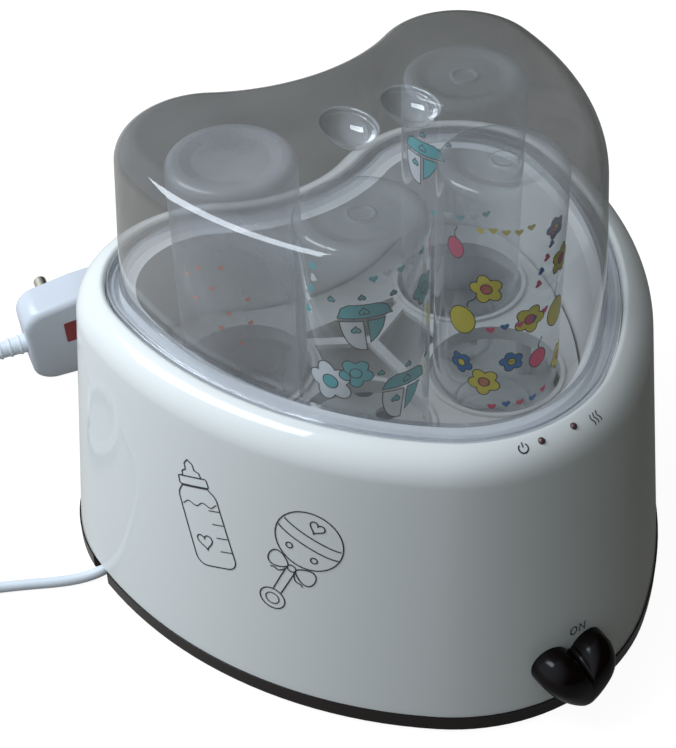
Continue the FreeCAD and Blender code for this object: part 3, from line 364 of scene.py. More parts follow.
leadFacts = {
    "diameter": 5.4,
    "exit": (-124, 57, 9.5),
    "lead": [(-124, 57, 9.5), (-133, 57, 8), (-142, 57, 4.8), (-152, 59.6, 2.75), (-163, 63.5, 2.72),
             (-176, 70, 2.75), (-190, 76.5, 2.72), (-206, 83, 2.75), (-221, 94, 2.72), (-231, 111, 2.75),
             (-235.5, 131.5, 2.72), (-235.7, 152, 2.75)],
    "tailStart": (-143.18, 220.65, 22.25), "tailRun": 12,
    "tailBearings": (-9.4, 8, 26, 44, 44, 30), "tailFalls": (4, 12, 20, 16, 8, 3),
    "ontoCoil": (-219, 186.5, 9),
    "coilMiddle": (-203, 162), "coilRadii": (32.7, 27.3), "coilHeights": (3.4, 8.8),
    "turns": 4.15, "perTurn": 14,
}


def tailRoute():
    points = [Vector(leadFacts["tailStart"])]
    for bearing, fall in zip(leadFacts["tailBearings"], leadFacts["tailFalls"]):
        turn, drop = math.radians(180 + bearing), math.radians(fall)
        way = Vector((math.cos(turn) * math.cos(drop), math.sin(turn) * math.cos(drop), -math.sin(drop)))
        points.append(points[-1] + way * leadFacts["tailRun"])
    return [tuple(point) for point in reversed(points)]


# The coil's stations are (turn, radius, height): low outside, low inside, high inside, then high outside
def leadRoute():
    points = list(leadFacts["lead"])
    outer, inner = leadFacts["coilRadii"]
    low, high = leadFacts["coilHeights"]
    stations = [(0, outer, low), (0.9, outer, low), (1.1, inner, low), (1.9, inner, low),
                (2.1, inner, high), (2.9, inner, high), (3.1, outer, high), (9, outer, high)]
    steps = int(leadFacts["turns"] * leadFacts["perTurn"])
    for step in range(1, steps):
        turn = step / leadFacts["perTurn"]
        after = next(i for i, s in enumerate(stations) if s[0] > turn)
        (t0, r0, z0), (t1, r1, z1) = stations[after - 1], stations[after]
        share = (turn - t0) / (t1 - t0)
        angle = math.pi - 2 * math.pi * turn
        radius = r0 + (r1 - r0) * share
        points.append((leadFacts["coilMiddle"][0] + radius * math.cos(angle),
                       leadFacts["coilMiddle"][1] + radius * math.sin(angle), z0 + (z1 - z0) * share))
    return points + [leadFacts["ontoCoil"]] + tailRoute()


def makeLead(plugPieces):
    data = bpy.data.curves.new("mainsLead", "CURVE")
    data.dimensions = "3D"
    route = leadRoute()
    spline = data.splines.new("NURBS")
    spline.points.add(len(route) - 1)
    for point, (x, y, z) in zip(spline.points, route):
        point.co = (x * mm, y * mm, z * mm, 1)
    spline.order_u = 3
    spline.use_endpoint_u = True
    spline.resolution_u = 6
    data.bevel_depth = leadFacts["diameter"] / 2 * mm
    data.bevel_resolution = 5
    data.use_fill_caps = True
    lead = bpy.data.objects.new("mainsLead", data)
    bpy.context.scene.collection.objects.link(lead)
    data.materials.append(finishes["cord"])
    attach(lead, "base")
    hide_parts("cord_lead", "cord_coil", "cord_tail")


# Plug shell: a rounded slab on its edge, which leans and widens so that its foot lies flat on the table.
# Outlines are (along, up, corner), and depths are (across, inset)

plug = {
    "middle": (-82.2, 210.3, 26.54), "yaw": -9.4, "lean": (0.07, 0.12, 1), "low": -26.8,
    "outline": [(0.5, -26.8), (28, -26.8, 11), (28, 29, 11), (4, 30.6, 60), (-29.5, 29, 11),
                (-29.5, -26.8, 11), (-0.5, -26.8)],
    "depths": [(-10.3, 3.4), (-10.1, 2.3), (-9.4, 1.1), (-8.2, 0.35), (-6.6, 0), (7.6, 0), (9.2, 0.5),
               (10, 1.3), (10.3, 2.4)],
    "flagOutline": [(-2.6, 1.5), (3.2, 1.5, 0.8), (3.2, 16.5, 0.8), (-8.4, 16.5, 0.8), (-8.4, 1.5, 0.8),
                    (-2.7, 1.5)],
    "flagDepths": [(-10.8, 0), (-10.1, 0)],
}


# From the plug's own axes to the scene
def plugPlace(x, y, z):
    lean = plug["lean"]
    flared = z * (1 - (lean[0] * x + lean[1] * y) / plug["low"])
    tilt = Vector(lean).rotation_difference(Vector((0, 0, 1))).to_matrix()
    turn = Matrix.Rotation(math.radians(plug["yaw"]), 3, "Z") @ tilt
    return (Vector(plug["middle"]) + turn @ Vector((x, y, flared))) * mm


# Slab of an outline, drawn in at each depth by its inset
def slab(outline, depths):
    mesh = bmesh.new()
    rows = []
    for y, inset in depths:
        inward = [[v - math.copysign(min(inset, abs(v)), v) for v in point] for point in outline]
        rows.append([mesh.verts.new(plugPlace(x, y, z)) for x, z in inward])
    for low, high in zip(rows, rows[1:]):
        joinRows(mesh, low, high)
    mesh.faces.new(rows[0])
    mesh.faces.new(rows[-1])
    return mesh


def makePlug():
    shell = toMesh("plugShell", slab(roundCorners(plug["outline"], 8), plug["depths"]))
    shell = finishMesh("plugShell", shell, finishes["plug"], "base", 60)
    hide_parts("plug_body", "plug_cover")
    flag = toMesh("plugFlag", slab(roundCorners(plug["flagOutline"], 3), plug["flagDepths"]))
    flag = finishMesh("plugFlag", flag, finishes["flag"], "base", 40)
    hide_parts("plug_fuse_flag")
    return [shell, flag]


makeLead(makePlug())
print("lead and plug lie")


# Housing: drafted walls, a full round over the rim, a rolled inner lip, and the ledge under the lid

housing = {"foot": 10, "rim": 151.5, "rimOffset": 19.2, "flare": 14.7, "round": 16, "gap": 6.5, "lip": 2,
           "ledge": 144, "ledgeEase": 0.8, "well": -2, "wall": 3, "wallRows": 12}
draft = math.atan(housing["flare"] / (housing["rim"] - housing["foot"]))
roundHeight = housing["rim"] - housing["round"]


def wallOffset(height):
    return housing["rimOffset"] + (housing["rim"] - height) * math.tan(draft)


roundOffset = wallOffset(roundHeight) - housing["round"] / math.cos(draft)


def makeHousing():
    foot, wall, gap, lip = [housing[key] for key in ("foot", "wall", "gap", "lip")]
    ledge, ease, well, rowCount = [housing[key] for key in ("ledge", "ledgeEase", "well", "wallRows")]
    wallTop = roundHeight + housing["round"] * math.sin(draft)
    heights = [foot + (wallTop - foot) * step / rowCount for step in range(rowCount)]
    lipSide = gap + lip - roundOffset
    lipHeight = roundHeight + math.sqrt((housing["round"] - lip) ** 2 - lipSide ** 2)
    meet = math.degrees(math.acos(lipSide / (housing["round"] - lip)))
    profile = [(wallOffset(height), height) for height in heights]
    profile += arc(roundOffset, roundHeight, housing["round"], math.degrees(draft), meet, 18)
    profile += arc(gap + lip, lipHeight, lip, meet, 180, 8)[1:]
    profile += [(gap, ledge + ease), (gap - ease, ledge), (well, ledge), (well, ledge - wall),
                (gap + wall, ledge - wall)]
    inside = housing["round"] - wall
    start = math.degrees(math.acos((gap + wall - roundOffset) / inside))
    profile += arc(roundOffset, roundHeight, inside, start, math.degrees(draft), 8)
    profile += [(wallOffset(foot) - wall, foot)]
    mesh = toMesh("housing", sweepHeart(profile, closed=True)[0])
    piece = finishMesh("baseHousing", mesh, finishes["ivory"], "base", 35)
    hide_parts("base_shell")


makeHousing()
print("housing is swept")


# Lid: smoke-clear dome with a stepped foot and two finger scoops. The foot is (offset, height, corner),
# a scoop's rim is (size, depth), and its bowl goes on from there at these angles

lidShape = {
    "foot": [(0, 146.3), (5.7, 146.3, 0.5), (5.7, 150.7, 0.65), (4.3, 150.7, 0.65), (4.3, 148.3, 0.8),
             (2.6, 148.3, 0.6), (-0.35, 151.6, 1.2), (-0.4, 152.2), (-2.8, 152.2), (-2.5, 146.3),
             (-0.1, 146.3)],
    "low": 146.2, "lean": 5.5 / 79.8, "round": 11.5, "top": 226,
    "wallRows": [152.2, 156, 162, 168, 174, 180, 186, 192, 198, 204, 210],
}
scoop = {"middle": 4, "side": 15.6, "back": 33, "wide": 10.6, "long": 14.5, "deep": 9.5,
         "rim": [(1.11, 0), (1.07, 0.08), (1.035, 0.4), (1.01, 1), (0.995, 1.9)],
         "bowl": (78, 70, 62, 54, 46, 38, 30, 22, 14, 7)}


# Finger scoop, from its rounded rim down to its bottom; returns the rim
def makeScoop(side, count=72):
    mesh = bmesh.new()
    x, y = scoop["middle"] + side * scoop["side"], scoop["back"]
    slants = [math.radians(angle) for angle in scoop["bowl"]]
    levels = scoop["rim"] + [(math.sin(slant), scoop["deep"] * math.cos(slant)) for slant in slants]
    turns = [2 * math.pi * step / count for step in range(count)]
    rows = []
    for size, depth in levels:
        wide, long, height = scoop["wide"] * size, scoop["long"] * size, lidShape["top"] - depth
        rows.append([pointIn(mesh, x + wide * math.cos(turn), y + long * math.sin(turn), height)
                     for turn in turns])
    bottom = pointIn(mesh, x, y, lidShape["top"] - scoop["deep"])
    for upper, lower in zip(rows, rows[1:] + [[bottom] * count]):
        joinRows(mesh, upper, lower)
    rim = [vert.co.copy() for vert in rows[0]]
    finishMesh("clearLidScoop", toMesh("lidScoop", mesh), finishes["scoop"], "lid", 50)
    return rim


# The dome's top is cut round the scoops' rims
def makeLid():
    low, top, radius, slope = [lidShape[key] for key in ("low", "top", "round", "lean")]
    foot = sweepHeart(roundCorners(lidShape["foot"], 8), closed=True)[0]
    finishMesh("clearLidFoot", toMesh("lidFoot", foot), finishes["lidFootLightened"], "lid", 50)
    profile = [(-(height - low) * slope, height) for height in lidShape["wallRows"]]
    lean, turnHeight = math.atan(slope), top - radius
    centre = -(turnHeight - low) * slope - radius / math.cos(lean)
    profile += arc(centre, turnHeight, radius, math.degrees(lean), 90, 16)
    mesh, rows = sweepHeart(profile)
    loops = [rows[-1]] + [[mesh.verts.new(place) for place in makeScoop(side)] for side in (-1, 1)]
    flat = [vert for loop in loops for vert in loop]
    for triangle in tessellate_polygon([[vert.co for vert in loop] for loop in loops]):
        mesh.faces.new([flat[i] for i in triangle])
    piece = finishMesh("clearLid", toMesh("lid", mesh), finishes["lid"], "lid", 50)
    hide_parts("lid")


makeLid()
print("lid is blown")


# Feeding bottles, upside down, with a screw thread at the neck. Profiles are (radius, height, corner).
# The frosted bottle has a plain base, and the others have a ring moulded into it

bottleShape = {
    "radius": 28.5, "frosted": "back_left",
    "profile": [(15, 63.9), (15, 63), (17, 63, 0.5), (17, 65.5), (18.2, 66.5, 0.6), (17, 67.9), (17, 70.1),
                (18.2, 71.1, 0.6), (17, 72.5), (17, 78.5), (19, 79.5, 0.6), (19, 81.5, 0.6), (17, 82.5),
                (17, 85.5, 4), (28.5, 101.5, 9), (28.5, 218.5, 4.5), (22, 218.5, 4), (17, 217.3, 5)],
    "plain": [(0, 217)],
    "ringed": [(6.8, 217, 0.3), (6.2, 218, 0.4), (5.2, 218, 0.4), (4.6, 217, 0.3), (0, 217)],
    "places": {"front_left": (-35.4, -14.2), "front_right": (35.4, -14.2), "back_left": (-60, 50),
               "back_right": (60, 50)},
}


# Mesh of a profile of (radius, height) turned about the upright through x, y
def turnProfile(profile, x, y, count=72):
    mesh = bmesh.new()
    turns = [2 * math.pi * i / count for i in range(count)]
    rows = []
    for radius, height in profile:
        if not radius:
            rows.append([pointIn(mesh, x, y, height)] * count)
            continue
        rows.append([pointIn(mesh, x + radius * math.cos(turn), y + radius * math.sin(turn), height)
                     for turn in turns])
    for low, high in zip(rows, rows[1:]):
        joinRows(mesh, low, high)
    return mesh


def makeBottles():
    for name, (x, y) in bottleShape["places"].items():
        frosted = name == bottleShape["frosted"]
        profile = bottleShape["profile"] + bottleShape["plain" if frosted else "ringed"]
        mesh = toMesh("bottle", turnProfile(roundCorners(profile, 6), x, y))
        finish = finishes["frosted" if frosted else "bottle"]
        piece = finishMesh("bottleGlass_" + name, mesh, finish, "bottle_" + name, 50)
        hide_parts("bottle_" + name)


makeBottles()
print("bottles stand")


# Heart button, puffed like a cushion over its spine, which is the outline drawn in towards its middle

button = {
    "middle": 26.3, "root": -118, "edge": -125.6, "tip": -143.2, "counts": (22, 14, 34, 10, 34, 14),
    "spineWidth": 0.12, "spineHeight": 0.1, "spineMiddle": -3,
    "rings": 22, "crowding": 1.5, "round": 0.56,  # crowding draws the rings together at the outline
    "softening": 400, "easing": 90,
}


# Height of a skin blown up inside the outline, 0 at the outline and 1 at its highest
def puffed(count, rings):
    rise = [[0.0] * count for ring in range(rings + 1)]
    for turn in range(button["softening"]):
        for ring in range(1, rings + 1):
            for i in range(count):
                inner = rise[ring + 1][i] if ring < rings else rise[ring][(i + count // 2) % count]
                around = rise[ring - 1][i] + inner + rise[ring][i - 1] + rise[ring][(i + 1) % count]
                rise[ring][i] = around / 4 + 1 / rings ** 2
    top = max(max(row) for row in rise)
    return [[height / top for height in row] for row in rise]


# The last rounds smooth all but the edge, which stays as drawn
def makeButton():
    mesh = bmesh.new()
    outline = heartRing(0, buttonOutline, button["counts"])
    wide, tall, centre = [button[key] for key in ("spineWidth", "spineHeight", "spineMiddle")]
    spine = [Vector((p.x * wide, centre + (p.y - centre) * tall)) for p in outline]
    rings, deep = button["rings"], button["edge"] - button["tip"]
    rows = [[pointIn(mesh, p.x, button["root"], button["middle"] + p.y) for p in outline]]
    for ring, heights in enumerate(puffed(len(outline), rings)):
        share = (ring / rings) ** button["crowding"]
        drawn = [start.lerp(end, share) for start, end in zip(outline, spine)]
        depths = [button["edge"] - deep * height ** button["round"] for height in heights]
        rows.append([pointIn(mesh, p.x, y, button["middle"] + p.y) for p, y in zip(drawn, depths)])
    for low, high in zip(rows, rows[1:]):
        joinRows(mesh, low, high)
    mesh.faces.new(rows[-1])
    inner = [vert for row in rows[3:] for vert in row]
    for turn in range(button["easing"]):
        bmesh.ops.smooth_vert(mesh, verts=inner, factor=0.5, use_axis_y=True)
    mesh = toMesh("heartButton", mesh)
    piece = finishMesh("heartButton", mesh, finishes["cherry"], "button", 75)
    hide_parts("heart_button")


makeButton()
print("button is puffed")


# Printing. Each mark is drawn flat in millimetres, cut into narrow strips and laid on its surface.
# A mark is a list of (ink, polygon), and a line is a row of small polygons

artwork = {
    "line": 0.62, "thinLine": 0.5, "fineLine": 0.45, "signLine": 0.55, "labelLine": 0.6, "slant": 0.1,
    "strip": 3, "lifts": {"printWhite": 0.09, "ink": 0.17}, "lift": 0.13,  # lifts are off the surface
    "wallSpread": 25,  # the wall's offset near the drawings
    "wall": {"bottle": (202.6, 92, 18), "rattle": (215.6, 86, -24)},  # angle, height, turn
    "onLabel": (-86.9, 45.2),  # angle, height
    "lampSigns": {"power": (-102.6, 58), "steam": (-75.5, 53)},  # angle, tilt of the rim
    "wallArc": 5, "noseArc": 0,  # as heartArcs counts them
}

# Angle round the bottle, height and turn of each motif
bottlePrints = {
    "front_left": [("boat", -119, 184, 186), ("whiteFlower", -151, 150, 0), ("tealFlower", -128, 157, 20),
                   ("tealHearts", -112, 206, 8), ("tealHearts", -140, 128, -14), ("boat", -84, 143, 172),
                   ("tealHearts", -172, 184, 80), ("tealFlower", -60, 190, 0)],
    "front_right": [("yellowFlower", -137, 170, 0), ("yellowBalloon", -159, 150, 160),
                    ("mixedHearts", -132, 148, 12), ("pinkBalloon", -168, 187, 180),
                    ("yellowFlower", -97, 152, 30), ("blueFlower", -112, 130, 0),
                    ("yellowHearts", -144, 200, 3), ("yellowBalloon", -64, 148, 185),
                    ("blueFlower", -74, 196, 0), ("yellowFlower", -50, 118, 10),
                    ("mixedHearts", -90, 170, 74), ("yellowFlower", -136, 118, 15),
                    ("pinkBalloon", -86, 128, 175), ("blueFlower", -158, 126, 20),
                    ("yellowFlower", -61, 176, 40), ("mixedHearts", -128, 104, 5)],
    "back_left": [("specks", -168, 172, 0), ("specks", -136, 148, 25)],
    "back_right": [("boat", -165, 187, 180), ("tealHearts", -150, 160, 0)],
}


def circle(radius, count=28, squash=1.0, x=0.0, y=0.0):
    turns = [2 * math.pi * i / count for i in range(count)]
    return [(x + radius * math.cos(turn), y + radius * squash * math.sin(turn)) for turn in turns]


def heartMark(size, x=0.0, y=0.0, count=30):
    points = []
    for i in range(count):
        t = 2 * math.pi * i / count
        rise = 13 * math.cos(t) - 5 * math.cos(2 * t) - 2 * math.cos(3 * t) - math.cos(4 * t)
        points.append((x + size / 32 * 16 * math.sin(t) ** 3, y + size / 32 * rise))
    return points[::-1]


def petals(size, number=5, depth=0.32, perPetal=12):
    points = []
    for i in range(number * perPetal):
        turn = 2 * math.pi * i / (number * perPetal)
        reach = size / 2 * (1 - depth + depth * abs(math.sin(number * turn / 2)))
        points.append((reach * math.cos(turn), reach * math.sin(turn)))
    return points


# A line of even width along the points, as one four-sided polygon per step
def stroke(points, width, closed=True):
    path = [Vector(p) for p in points]
    count = len(path)
    sides = []
    for i, here in enumerate(path):
        before = path[i - 1] if closed or i else here
        after = path[(i + 1) % count] if closed or i < count - 1 else here
        into, out = (here - before), (after - here)
        into = into.normalized() if into.length else out.normalized()
        out = out.normalized() if out.length else into
        across = Vector((-(into + out).y, (into + out).x)).normalized()
        reach = width / 2 / max(0.5, abs(across.dot(Vector((-out.y, out.x)))))  # sharp corners stay short
        sides.append((here + across * reach, here - across * reach))
    pairs = list(zip(sides, sides[1:])) + ([(sides[-1], sides[0])] if closed else [])
    return [[tuple(a[1]), tuple(b[1]), tuple(b[0]), tuple(a[0])] for a, b in pairs]


def inInk(quads):
    return [("ink", quad) for quad in quads]


def inked(ink, points):
    return [(ink, points)] + inInk(stroke(points, artwork["fineLine"]))


def moved(mark, x, y, turn=0.0):
    c, s = math.cos(math.radians(turn)), math.sin(math.radians(turn))
    return [(ink, [(x + u * c - v * s, y + u * s + v * c) for u, v in polygon]) for ink, polygon in mark]


def boatMark():
    hull = [(-11.5, -2.5), (-9.5, -7.5), (-6, -9.3), (6, -9.3), (9.5, -7.5), (11.5, -2.5)]
    turns = [math.pi / 2 * (8 - i) / 8 for i in range(9)]
    main = [(0.9, -1)] + [(0.9 + 10 * math.sin(turn) ** 0.8, -1 + 15 * math.cos(turn)) for turn in turns]
    jib = [(-0.9, -1), (-0.9, 10.5), (-4.2, 7.6), (-6.8, 3.6), (-8.2, -1)]
    drops = [mark for x in (-13, 0, 13) for mark in inked("printTeal", heartMark(3, x, -13 + abs(x) * 0.1))]
    return (inked("printTeal", hull) + inked("printWhite", main) + inked("printTeal", jib) + drops
            + inked("printWhite", heartMark(4, 0, -5.8)) + inked("printTeal", heartMark(4, 4.4, 3.5)))


def flowerMark(ink, middle, size):
    return inked(ink, petals(size)) + inked(middle, circle(size * 0.17))


def balloonMark(ink, size):
    body = [(x, y * 1.15) for x, y in circle(size / 2)]
    string = [(math.sin(t * 0.9) * size * 0.08, -size * 0.62 - t * size * 0.11) for t in range(7)]
    knot = [(-size * 0.08, -size * 0.64), (size * 0.08, -size * 0.64), (0, -size * 0.55)]
    return inked(ink, body) + [(ink, knot)] + inInk(stroke(string, artwork["thinLine"], False))


def heartRow(inks, size, gap):
    return [(inks[i % len(inks)], heartMark(size, i * gap, 0.8 * math.sin(i * 1.7))) for i in range(5)]


# Outline drawing of a feeding bottle, 22 x 55 mm
def bottleDrawing():
    line = artwork["line"]
    body = roundCorners([(0, -27), (11, -27, 5), (11, 10, 6), (7.5, 14, 1), (-7.5, 14, 1), (-11, 10, 6),
                         (-11, -27, 5), (0, -27)])
    collar = roundCorners([(0, 14.5), (8.6, 14.5, 1), (8.2, 19, 1), (-8.2, 19, 1), (-8.6, 14.5, 1),
                           (0, 14.5)])
    teat = [(-5.5, 19.2), (-5, 21.5), (-2.6, 22.6), (-2.4, 25.5), (0, 27.6), (2.4, 25.5), (2.6, 22.6),
            (5, 21.5), (5.5, 19.2)]
    strokes = stroke(body[:-1], line) + stroke(collar[:-1], line) + stroke(teat, line, False)
    for height in (-18, -11, -4, 3):
        strokes += stroke([(4.5, height), (10.6, height)], line * 0.8, False)
    strokes += stroke(heartMark(8.5, -3, -14), line)
    wave = [(x, 5.4 + math.sin(x * 0.75)) for x in range(-10, 11)]
    return inInk(strokes + stroke(wave, line * 0.8, False))


# Outline drawing of a rattle with a bow, 31 x 63 mm
def rattleDrawing():
    line = artwork["line"]
    strokes = stroke(circle(15.5, 48, 1, 0, 15), line) + stroke(circle(6, 30, 0.92, 0, -26.5), line)
    strokes += stroke(circle(3.2, 24, 0.92, 0, -26.5), line * 0.8)
    for side in (-1, 1):
        strokes += stroke([(side * 2.2, -6.4), (side * 2, -20.8)], line, False)
    band = [(x, 15 - 0.2 * (15.5 ** 2 - x * x) ** 0.5) for x in range(-15, 16)]
    strokes += stroke(band, line, False) + stroke([(x, y + 5.5) for x, y in band[1:-1]], line, False)
    strokes += stroke(heartMark(7, 0, 24), line) + stroke(circle(2, 24, 0.9, 0, -4.2), line)
    turns = [2 * math.pi * i / 30 for i in range(30)]
    for side in (-1, 1):
        loop = [(side * (6.8 + 4.8 * math.cos(turn)),
                 -4 + 3.4 * math.sin(turn) * (1.25 + 0.5 * math.cos(turn))) for turn in turns]
        tail = [(side * (1.8 + 0.64 * i), -5.4 - 0.65 * i - 1.6 * math.sin(0.5 * i)) for i in range(11)]
        strokes += stroke(loop, line) + stroke(tail, line, False)
        strokes += stroke(circle(1.5, 18, 1, side * 6.2, 7), line)
    return inInk(strokes)


def slantedStroke(points, closed=False):
    slanted = [(x + artwork["slant"] * y, y) for x, y in points]
    return inInk(stroke(slanted, artwork["labelLine"], closed))


def onSign():
    letter = [(x - 2.4, y) for x, y in circle(1.55, 24, 1.3)]
    return slantedStroke(letter, True) + slantedStroke([(0.8, -2), (0.8, 2), (3.5, -2), (3.5, 2)])


def powerSign():
    turns = [math.radians(128 + 284 * i / 24) for i in range(25)]
    ring = [(2 * math.cos(turn), 2 * math.sin(turn)) for turn in turns]
    line = artwork["signLine"]
    return inInk(stroke(ring, line, False) + stroke([(0, 0.3), (0, 2.6)], line, False))


def steamSign():
    lines = []
    for x in (-1.9, 0, 1.9):
        wave = [(x + 0.45 * math.sin(i * 0.9), -2.4 + i * 0.6) for i in range(9)]
        lines += stroke(wave, artwork["thinLine"], False)
    return inInk(lines)


# Surfaces: each turns flat millimetres into a point and its outward direction

def onBottle(name):
    x, y = bottleShape["places"][name]

    def wrap(u, v):
        turn = u / bottleShape["radius"]
        way = Vector((math.cos(turn), math.sin(turn), 0))
        return Vector((x, y, v)) + way * bottleShape["radius"], way
    return wrap


def onWall(arcNumber, middle):
    centre, radius = heartArcs(heartOutline)[arcNumber][:2]

    def wrap(u, v):
        turn = math.radians(middle) + u / (radius + artwork["wallSpread"])
        flat = Vector((math.cos(turn), math.sin(turn), 0))
        point = Vector((centre.x, centre.y, v)) + flat * (radius + wallOffset(v))
        return point, flat * math.cos(draft) + Vector((0, 0, math.sin(draft)))
    return wrap


def onRim(middle, tilt):
    centre, radius = heartArcs(heartOutline)[artwork["noseArc"]][:2]

    def wrap(u, v):
        lift = math.radians(tilt) + v / housing["round"]
        reach = radius + roundOffset + housing["round"] * math.cos(lift)
        turn = math.radians(middle) + u / reach
        flat = Vector((math.cos(turn), math.sin(turn), 0))
        point = Vector((centre.x, centre.y, roundHeight + housing["round"] * math.sin(lift))) + flat * reach
        return point, flat * math.cos(lift) + Vector((0, 0, math.sin(lift)))
    return wrap


# Lays a mark as one piece for each of its inks
def layPrint(name, mark, wrap, body):
    for ink in sorted({ink for ink, polygon in mark}):
        mesh = bmesh.new()
        for polygon in [polygon for kind, polygon in mark if kind == ink]:
            corners = [mesh.verts.new((u, v, 0)) for u, v in polygon]
            if len(corners) < 5:
                mesh.faces.new(corners)
                continue
            for triangle in tessellate_polygon([[corner.co for corner in corners]]):
                mesh.faces.new([corners[i] for i in triangle])
        low, high = [pick(vert.co.x for vert in mesh.verts) for pick in (min, max)]
        for cut in range(math.ceil(low / artwork["strip"]), math.ceil(high / artwork["strip"])):
            bmesh.ops.bisect_plane(mesh, geom=mesh.verts[:] + mesh.edges[:] + mesh.faces[:],
                                   plane_co=(cut * artwork["strip"], 0, 0), plane_no=(1, 0, 0))
        for face in mesh.faces:
            face.normal_update()
            if face.normal.z < 0:
                face.normal_flip()
        lift = artwork["lifts"].get(ink, artwork["lift"])
        for vert in mesh.verts:
            point, outward = wrap(vert.co.x, vert.co.y)
            vert.co = (point + outward * lift) * mm
        data = bpy.data.meshes.new(name)
        mesh.to_mesh(data)
        mesh.free()
        finishMesh(f"{name}_{ink}", data, finishes[ink], body)


def bottleMotifs():
    specks = [(0, 0), (7, 6), (13, -3), (4, -11), (18, 9)]
    return {
        "boat": boatMark(),
        "whiteFlower": flowerMark("printWhite", "printTeal", 21),
        "tealFlower": flowerMark("printTeal", "printWhite", 15),
        "yellowFlower": flowerMark("printYellow", "printPink", 15),
        "blueFlower": flowerMark("printBlue", "printYellow", 11),
        "pinkBalloon": balloonMark("printPink", 9),
        "yellowBalloon": balloonMark("printYellow", 13),
        "tealHearts": heartRow(["printTeal", "printWhite"], 4, 6),
        "mixedHearts": heartRow(["printPink", "printBlue"], 4, 6.5),
        "yellowHearts": heartRow(["printYellow"], 3.8, 5.4),
        "specks": [("printOrange", heartMark(2.6, x, y)) for x, y in specks],
    }


def makePrints():
    motifs = bottleMotifs()
    for name in bottleShape["places"]:
        whole = []
        for motif, angle, height, turn in bottlePrints[name]:
            whole += moved(motifs[motif], math.radians(angle) * bottleShape["radius"], height, turn)
        layPrint("mark_" + name, whole, onBottle(name), "bottle_" + name)
    for name, drawing in (("bottle", bottleDrawing()), ("rattle", rattleDrawing())):
        angle, height, turn = artwork["wall"][name]
        wall = onWall(artwork["wallArc"], angle)
        layPrint("wallDrawing_" + name, moved(drawing, 0, height, turn), wall, "base")
    angle, height = artwork["onLabel"]
    layPrint("onLabel", moved(onSign(), 0, height), onWall(artwork["noseArc"], angle), "base")
    for name, sign in (("power", powerSign()), ("steam", steamSign())):
        layPrint(name + "Sign", sign, onRim(*artwork["lampSigns"][name]), "base")


makePrints()
print("prints are laid")


# Studio, in metres: a strip lamp on the left, a world that is bright on that side, and a floor that is
# white to the camera. The world's brightness ends where the cosine to its way is reach. In reflections the
# floor fades across the studio from mirrorNear to mirrorFar

studio = {
    "strip": {"from": (-0.855, 0.855, 0.885), "to": (-0.60, 0.075, 1.365), "aim": (0, 0, 0.12),
              "width": 0.4, "power": 12.5, "tint": (0.82, 0.91, 1)},
    "bright": {"way": (-0.76, 0.44, 0.5), "level": 1.08, "tint": (0.78, 0.88, 1), "reach": -0.22},
    "dark": {"level": 0.028, "tint": (1, 0.98, 0.5)},
    "floor": {"size": 8, "tone": (0.165, 0.157, 0.138, 1), "roughness": 0.9, "shine": 0.1, "glow": 0.94,
              "way": (-0.86, 0.5, 0), "fadeFrom": -0.2, "fadeTo": 0.5, "mirrorNear": 0.6,
              "mirrorFar": 0.015},
}


def makeStrip():
    facts = studio["strip"]
    start, end = Vector(facts["from"]), Vector(facts["to"])
    data = bpy.data.lights.new("stripLamp", "AREA")
    data.shape = "RECTANGLE"
    data.size, data.size_y = (end - start).length, facts["width"]
    data.energy = facts["power"]
    data.color = facts["tint"]
    lamp = bpy.data.objects.new("stripLamp", data)
    bpy.context.scene.collection.objects.link(lamp)
    along, middle = (end - start).normalized(), (start + end) / 2
    away = middle - Vector(facts["aim"])
    away = (away - along * away.dot(along)).normalized()
    turn = Matrix((along, away.cross(along), away)).transposed().to_4x4()
    lamp.matrix_world = Matrix.Translation(middle) @ turn


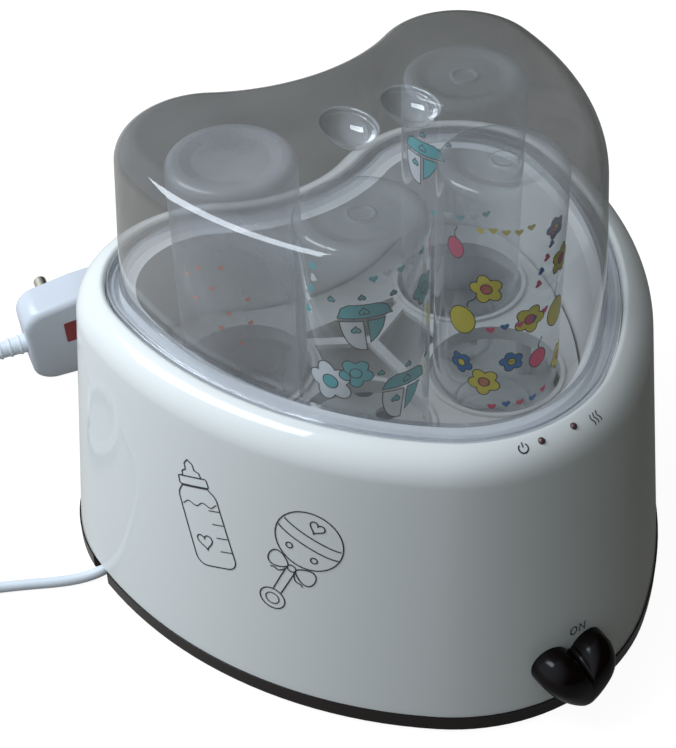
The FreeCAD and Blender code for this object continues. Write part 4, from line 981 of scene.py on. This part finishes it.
def makeWorld():
    world = bpy.data.worlds.new("studio")
    bpy.context.scene.world = world
    world.use_nodes = True
    tree = world.node_tree
    back = tree.nodes["Background"]
    bright, dark = studio["bright"], studio["dark"]
    way = Vector(bright["way"]).normalized()
    place = node(tree, "ShaderNodeTexCoord")
    toward = node(tree, "ShaderNodeVectorMath", {1: way}, operation="DOT_PRODUCT")
    spread = node(tree, "ShaderNodeMapRange", {"From Min": bright["reach"]},
                  interpolation_type="SMOOTHERSTEP")
    blend = node(tree, "ShaderNodeMix", data_type="RGBA")
    blend.inputs["A"].default_value = [v * dark["level"] for v in dark["tint"]] + [1]
    blend.inputs["B"].default_value = [v * bright["level"] for v in bright["tint"]] + [1]
    rays = node(tree, "ShaderNodeLightPath")
    seen = node(tree, "ShaderNodeMix", data_type="RGBA")
    seen.inputs["B"].default_value = (1, 1, 1, 1)
    link = tree.links.new
    link(place.outputs["Generated"], toward.inputs[0])
    link(toward.outputs["Value"], spread.inputs["Value"])
    link(spread.outputs["Result"], blend.inputs["Factor"])
    link(blend.outputs["Result"], seen.inputs["A"])
    link(rays.outputs["Is Camera Ray"], seen.inputs["Factor"])
    link(seen.outputs["Result"], back.inputs["Color"])


def makeFloor():
    facts = studio["floor"]
    material, tree, shader = newMaterial("paleFloor")
    shader.inputs["Base Color"].default_value = facts["tone"]
    shader.inputs["Roughness"].default_value = facts["roughness"]
    shader.inputs["Specular IOR Level"].default_value = facts["shine"]
    shader.inputs["Emission Color"].default_value = [facts["glow"]] * 3 + [1]
    rays = node(tree, "ShaderNodeLightPath")
    place = node(tree, "ShaderNodeTexCoord")
    toward = node(tree, "ShaderNodeVectorMath", {1: facts["way"]}, operation="DOT_PRODUCT")
    fade = node(tree, "ShaderNodeMapRange", {"From Min": facts["fadeFrom"], "From Max": facts["fadeTo"],
                                             "To Min": facts["mirrorFar"], "To Max": facts["mirrorNear"]})
    direct = node(tree, "ShaderNodeMath", {1: 0.5}, operation="LESS_THAN")  # not through clear plastic
    bounce, mirrored, seen, glow = [node(tree, "ShaderNodeMath", operation=kind)
                                    for kind in ("MAXIMUM", "MULTIPLY", "MAXIMUM", "MULTIPLY")]
    for start, end in ((place.outputs["Object"], toward.inputs[0]),
                       (toward.outputs["Value"], fade.inputs["Value"]),
                       (rays.outputs["Is Glossy Ray"], bounce.inputs[0]),
                       (rays.outputs["Is Transmission Ray"], bounce.inputs[1]),
                       (bounce.outputs[0], mirrored.inputs[0]),
                       (fade.outputs["Result"], mirrored.inputs[1]),
                       (rays.outputs["Is Camera Ray"], seen.inputs[0]),
                       (mirrored.outputs[0], seen.inputs[1]),
                       (rays.outputs["Transparent Depth"], direct.inputs[0]),
                       (seen.outputs[0], glow.inputs[0]),
                       (direct.outputs[0], glow.inputs[1]),
                       (glow.outputs[0], shader.inputs["Emission Strength"])):
        tree.links.new(start, end)
    bpy.ops.mesh.primitive_plane_add(size=facts["size"])
    floor = bpy.context.object
    floor.name = "floor"
    floor.data.materials.append(material)


makeStrip()
makeWorld()
makeFloor()
bpy.context.scene.view_settings.view_transform = "Standard"
print("scene is ready")
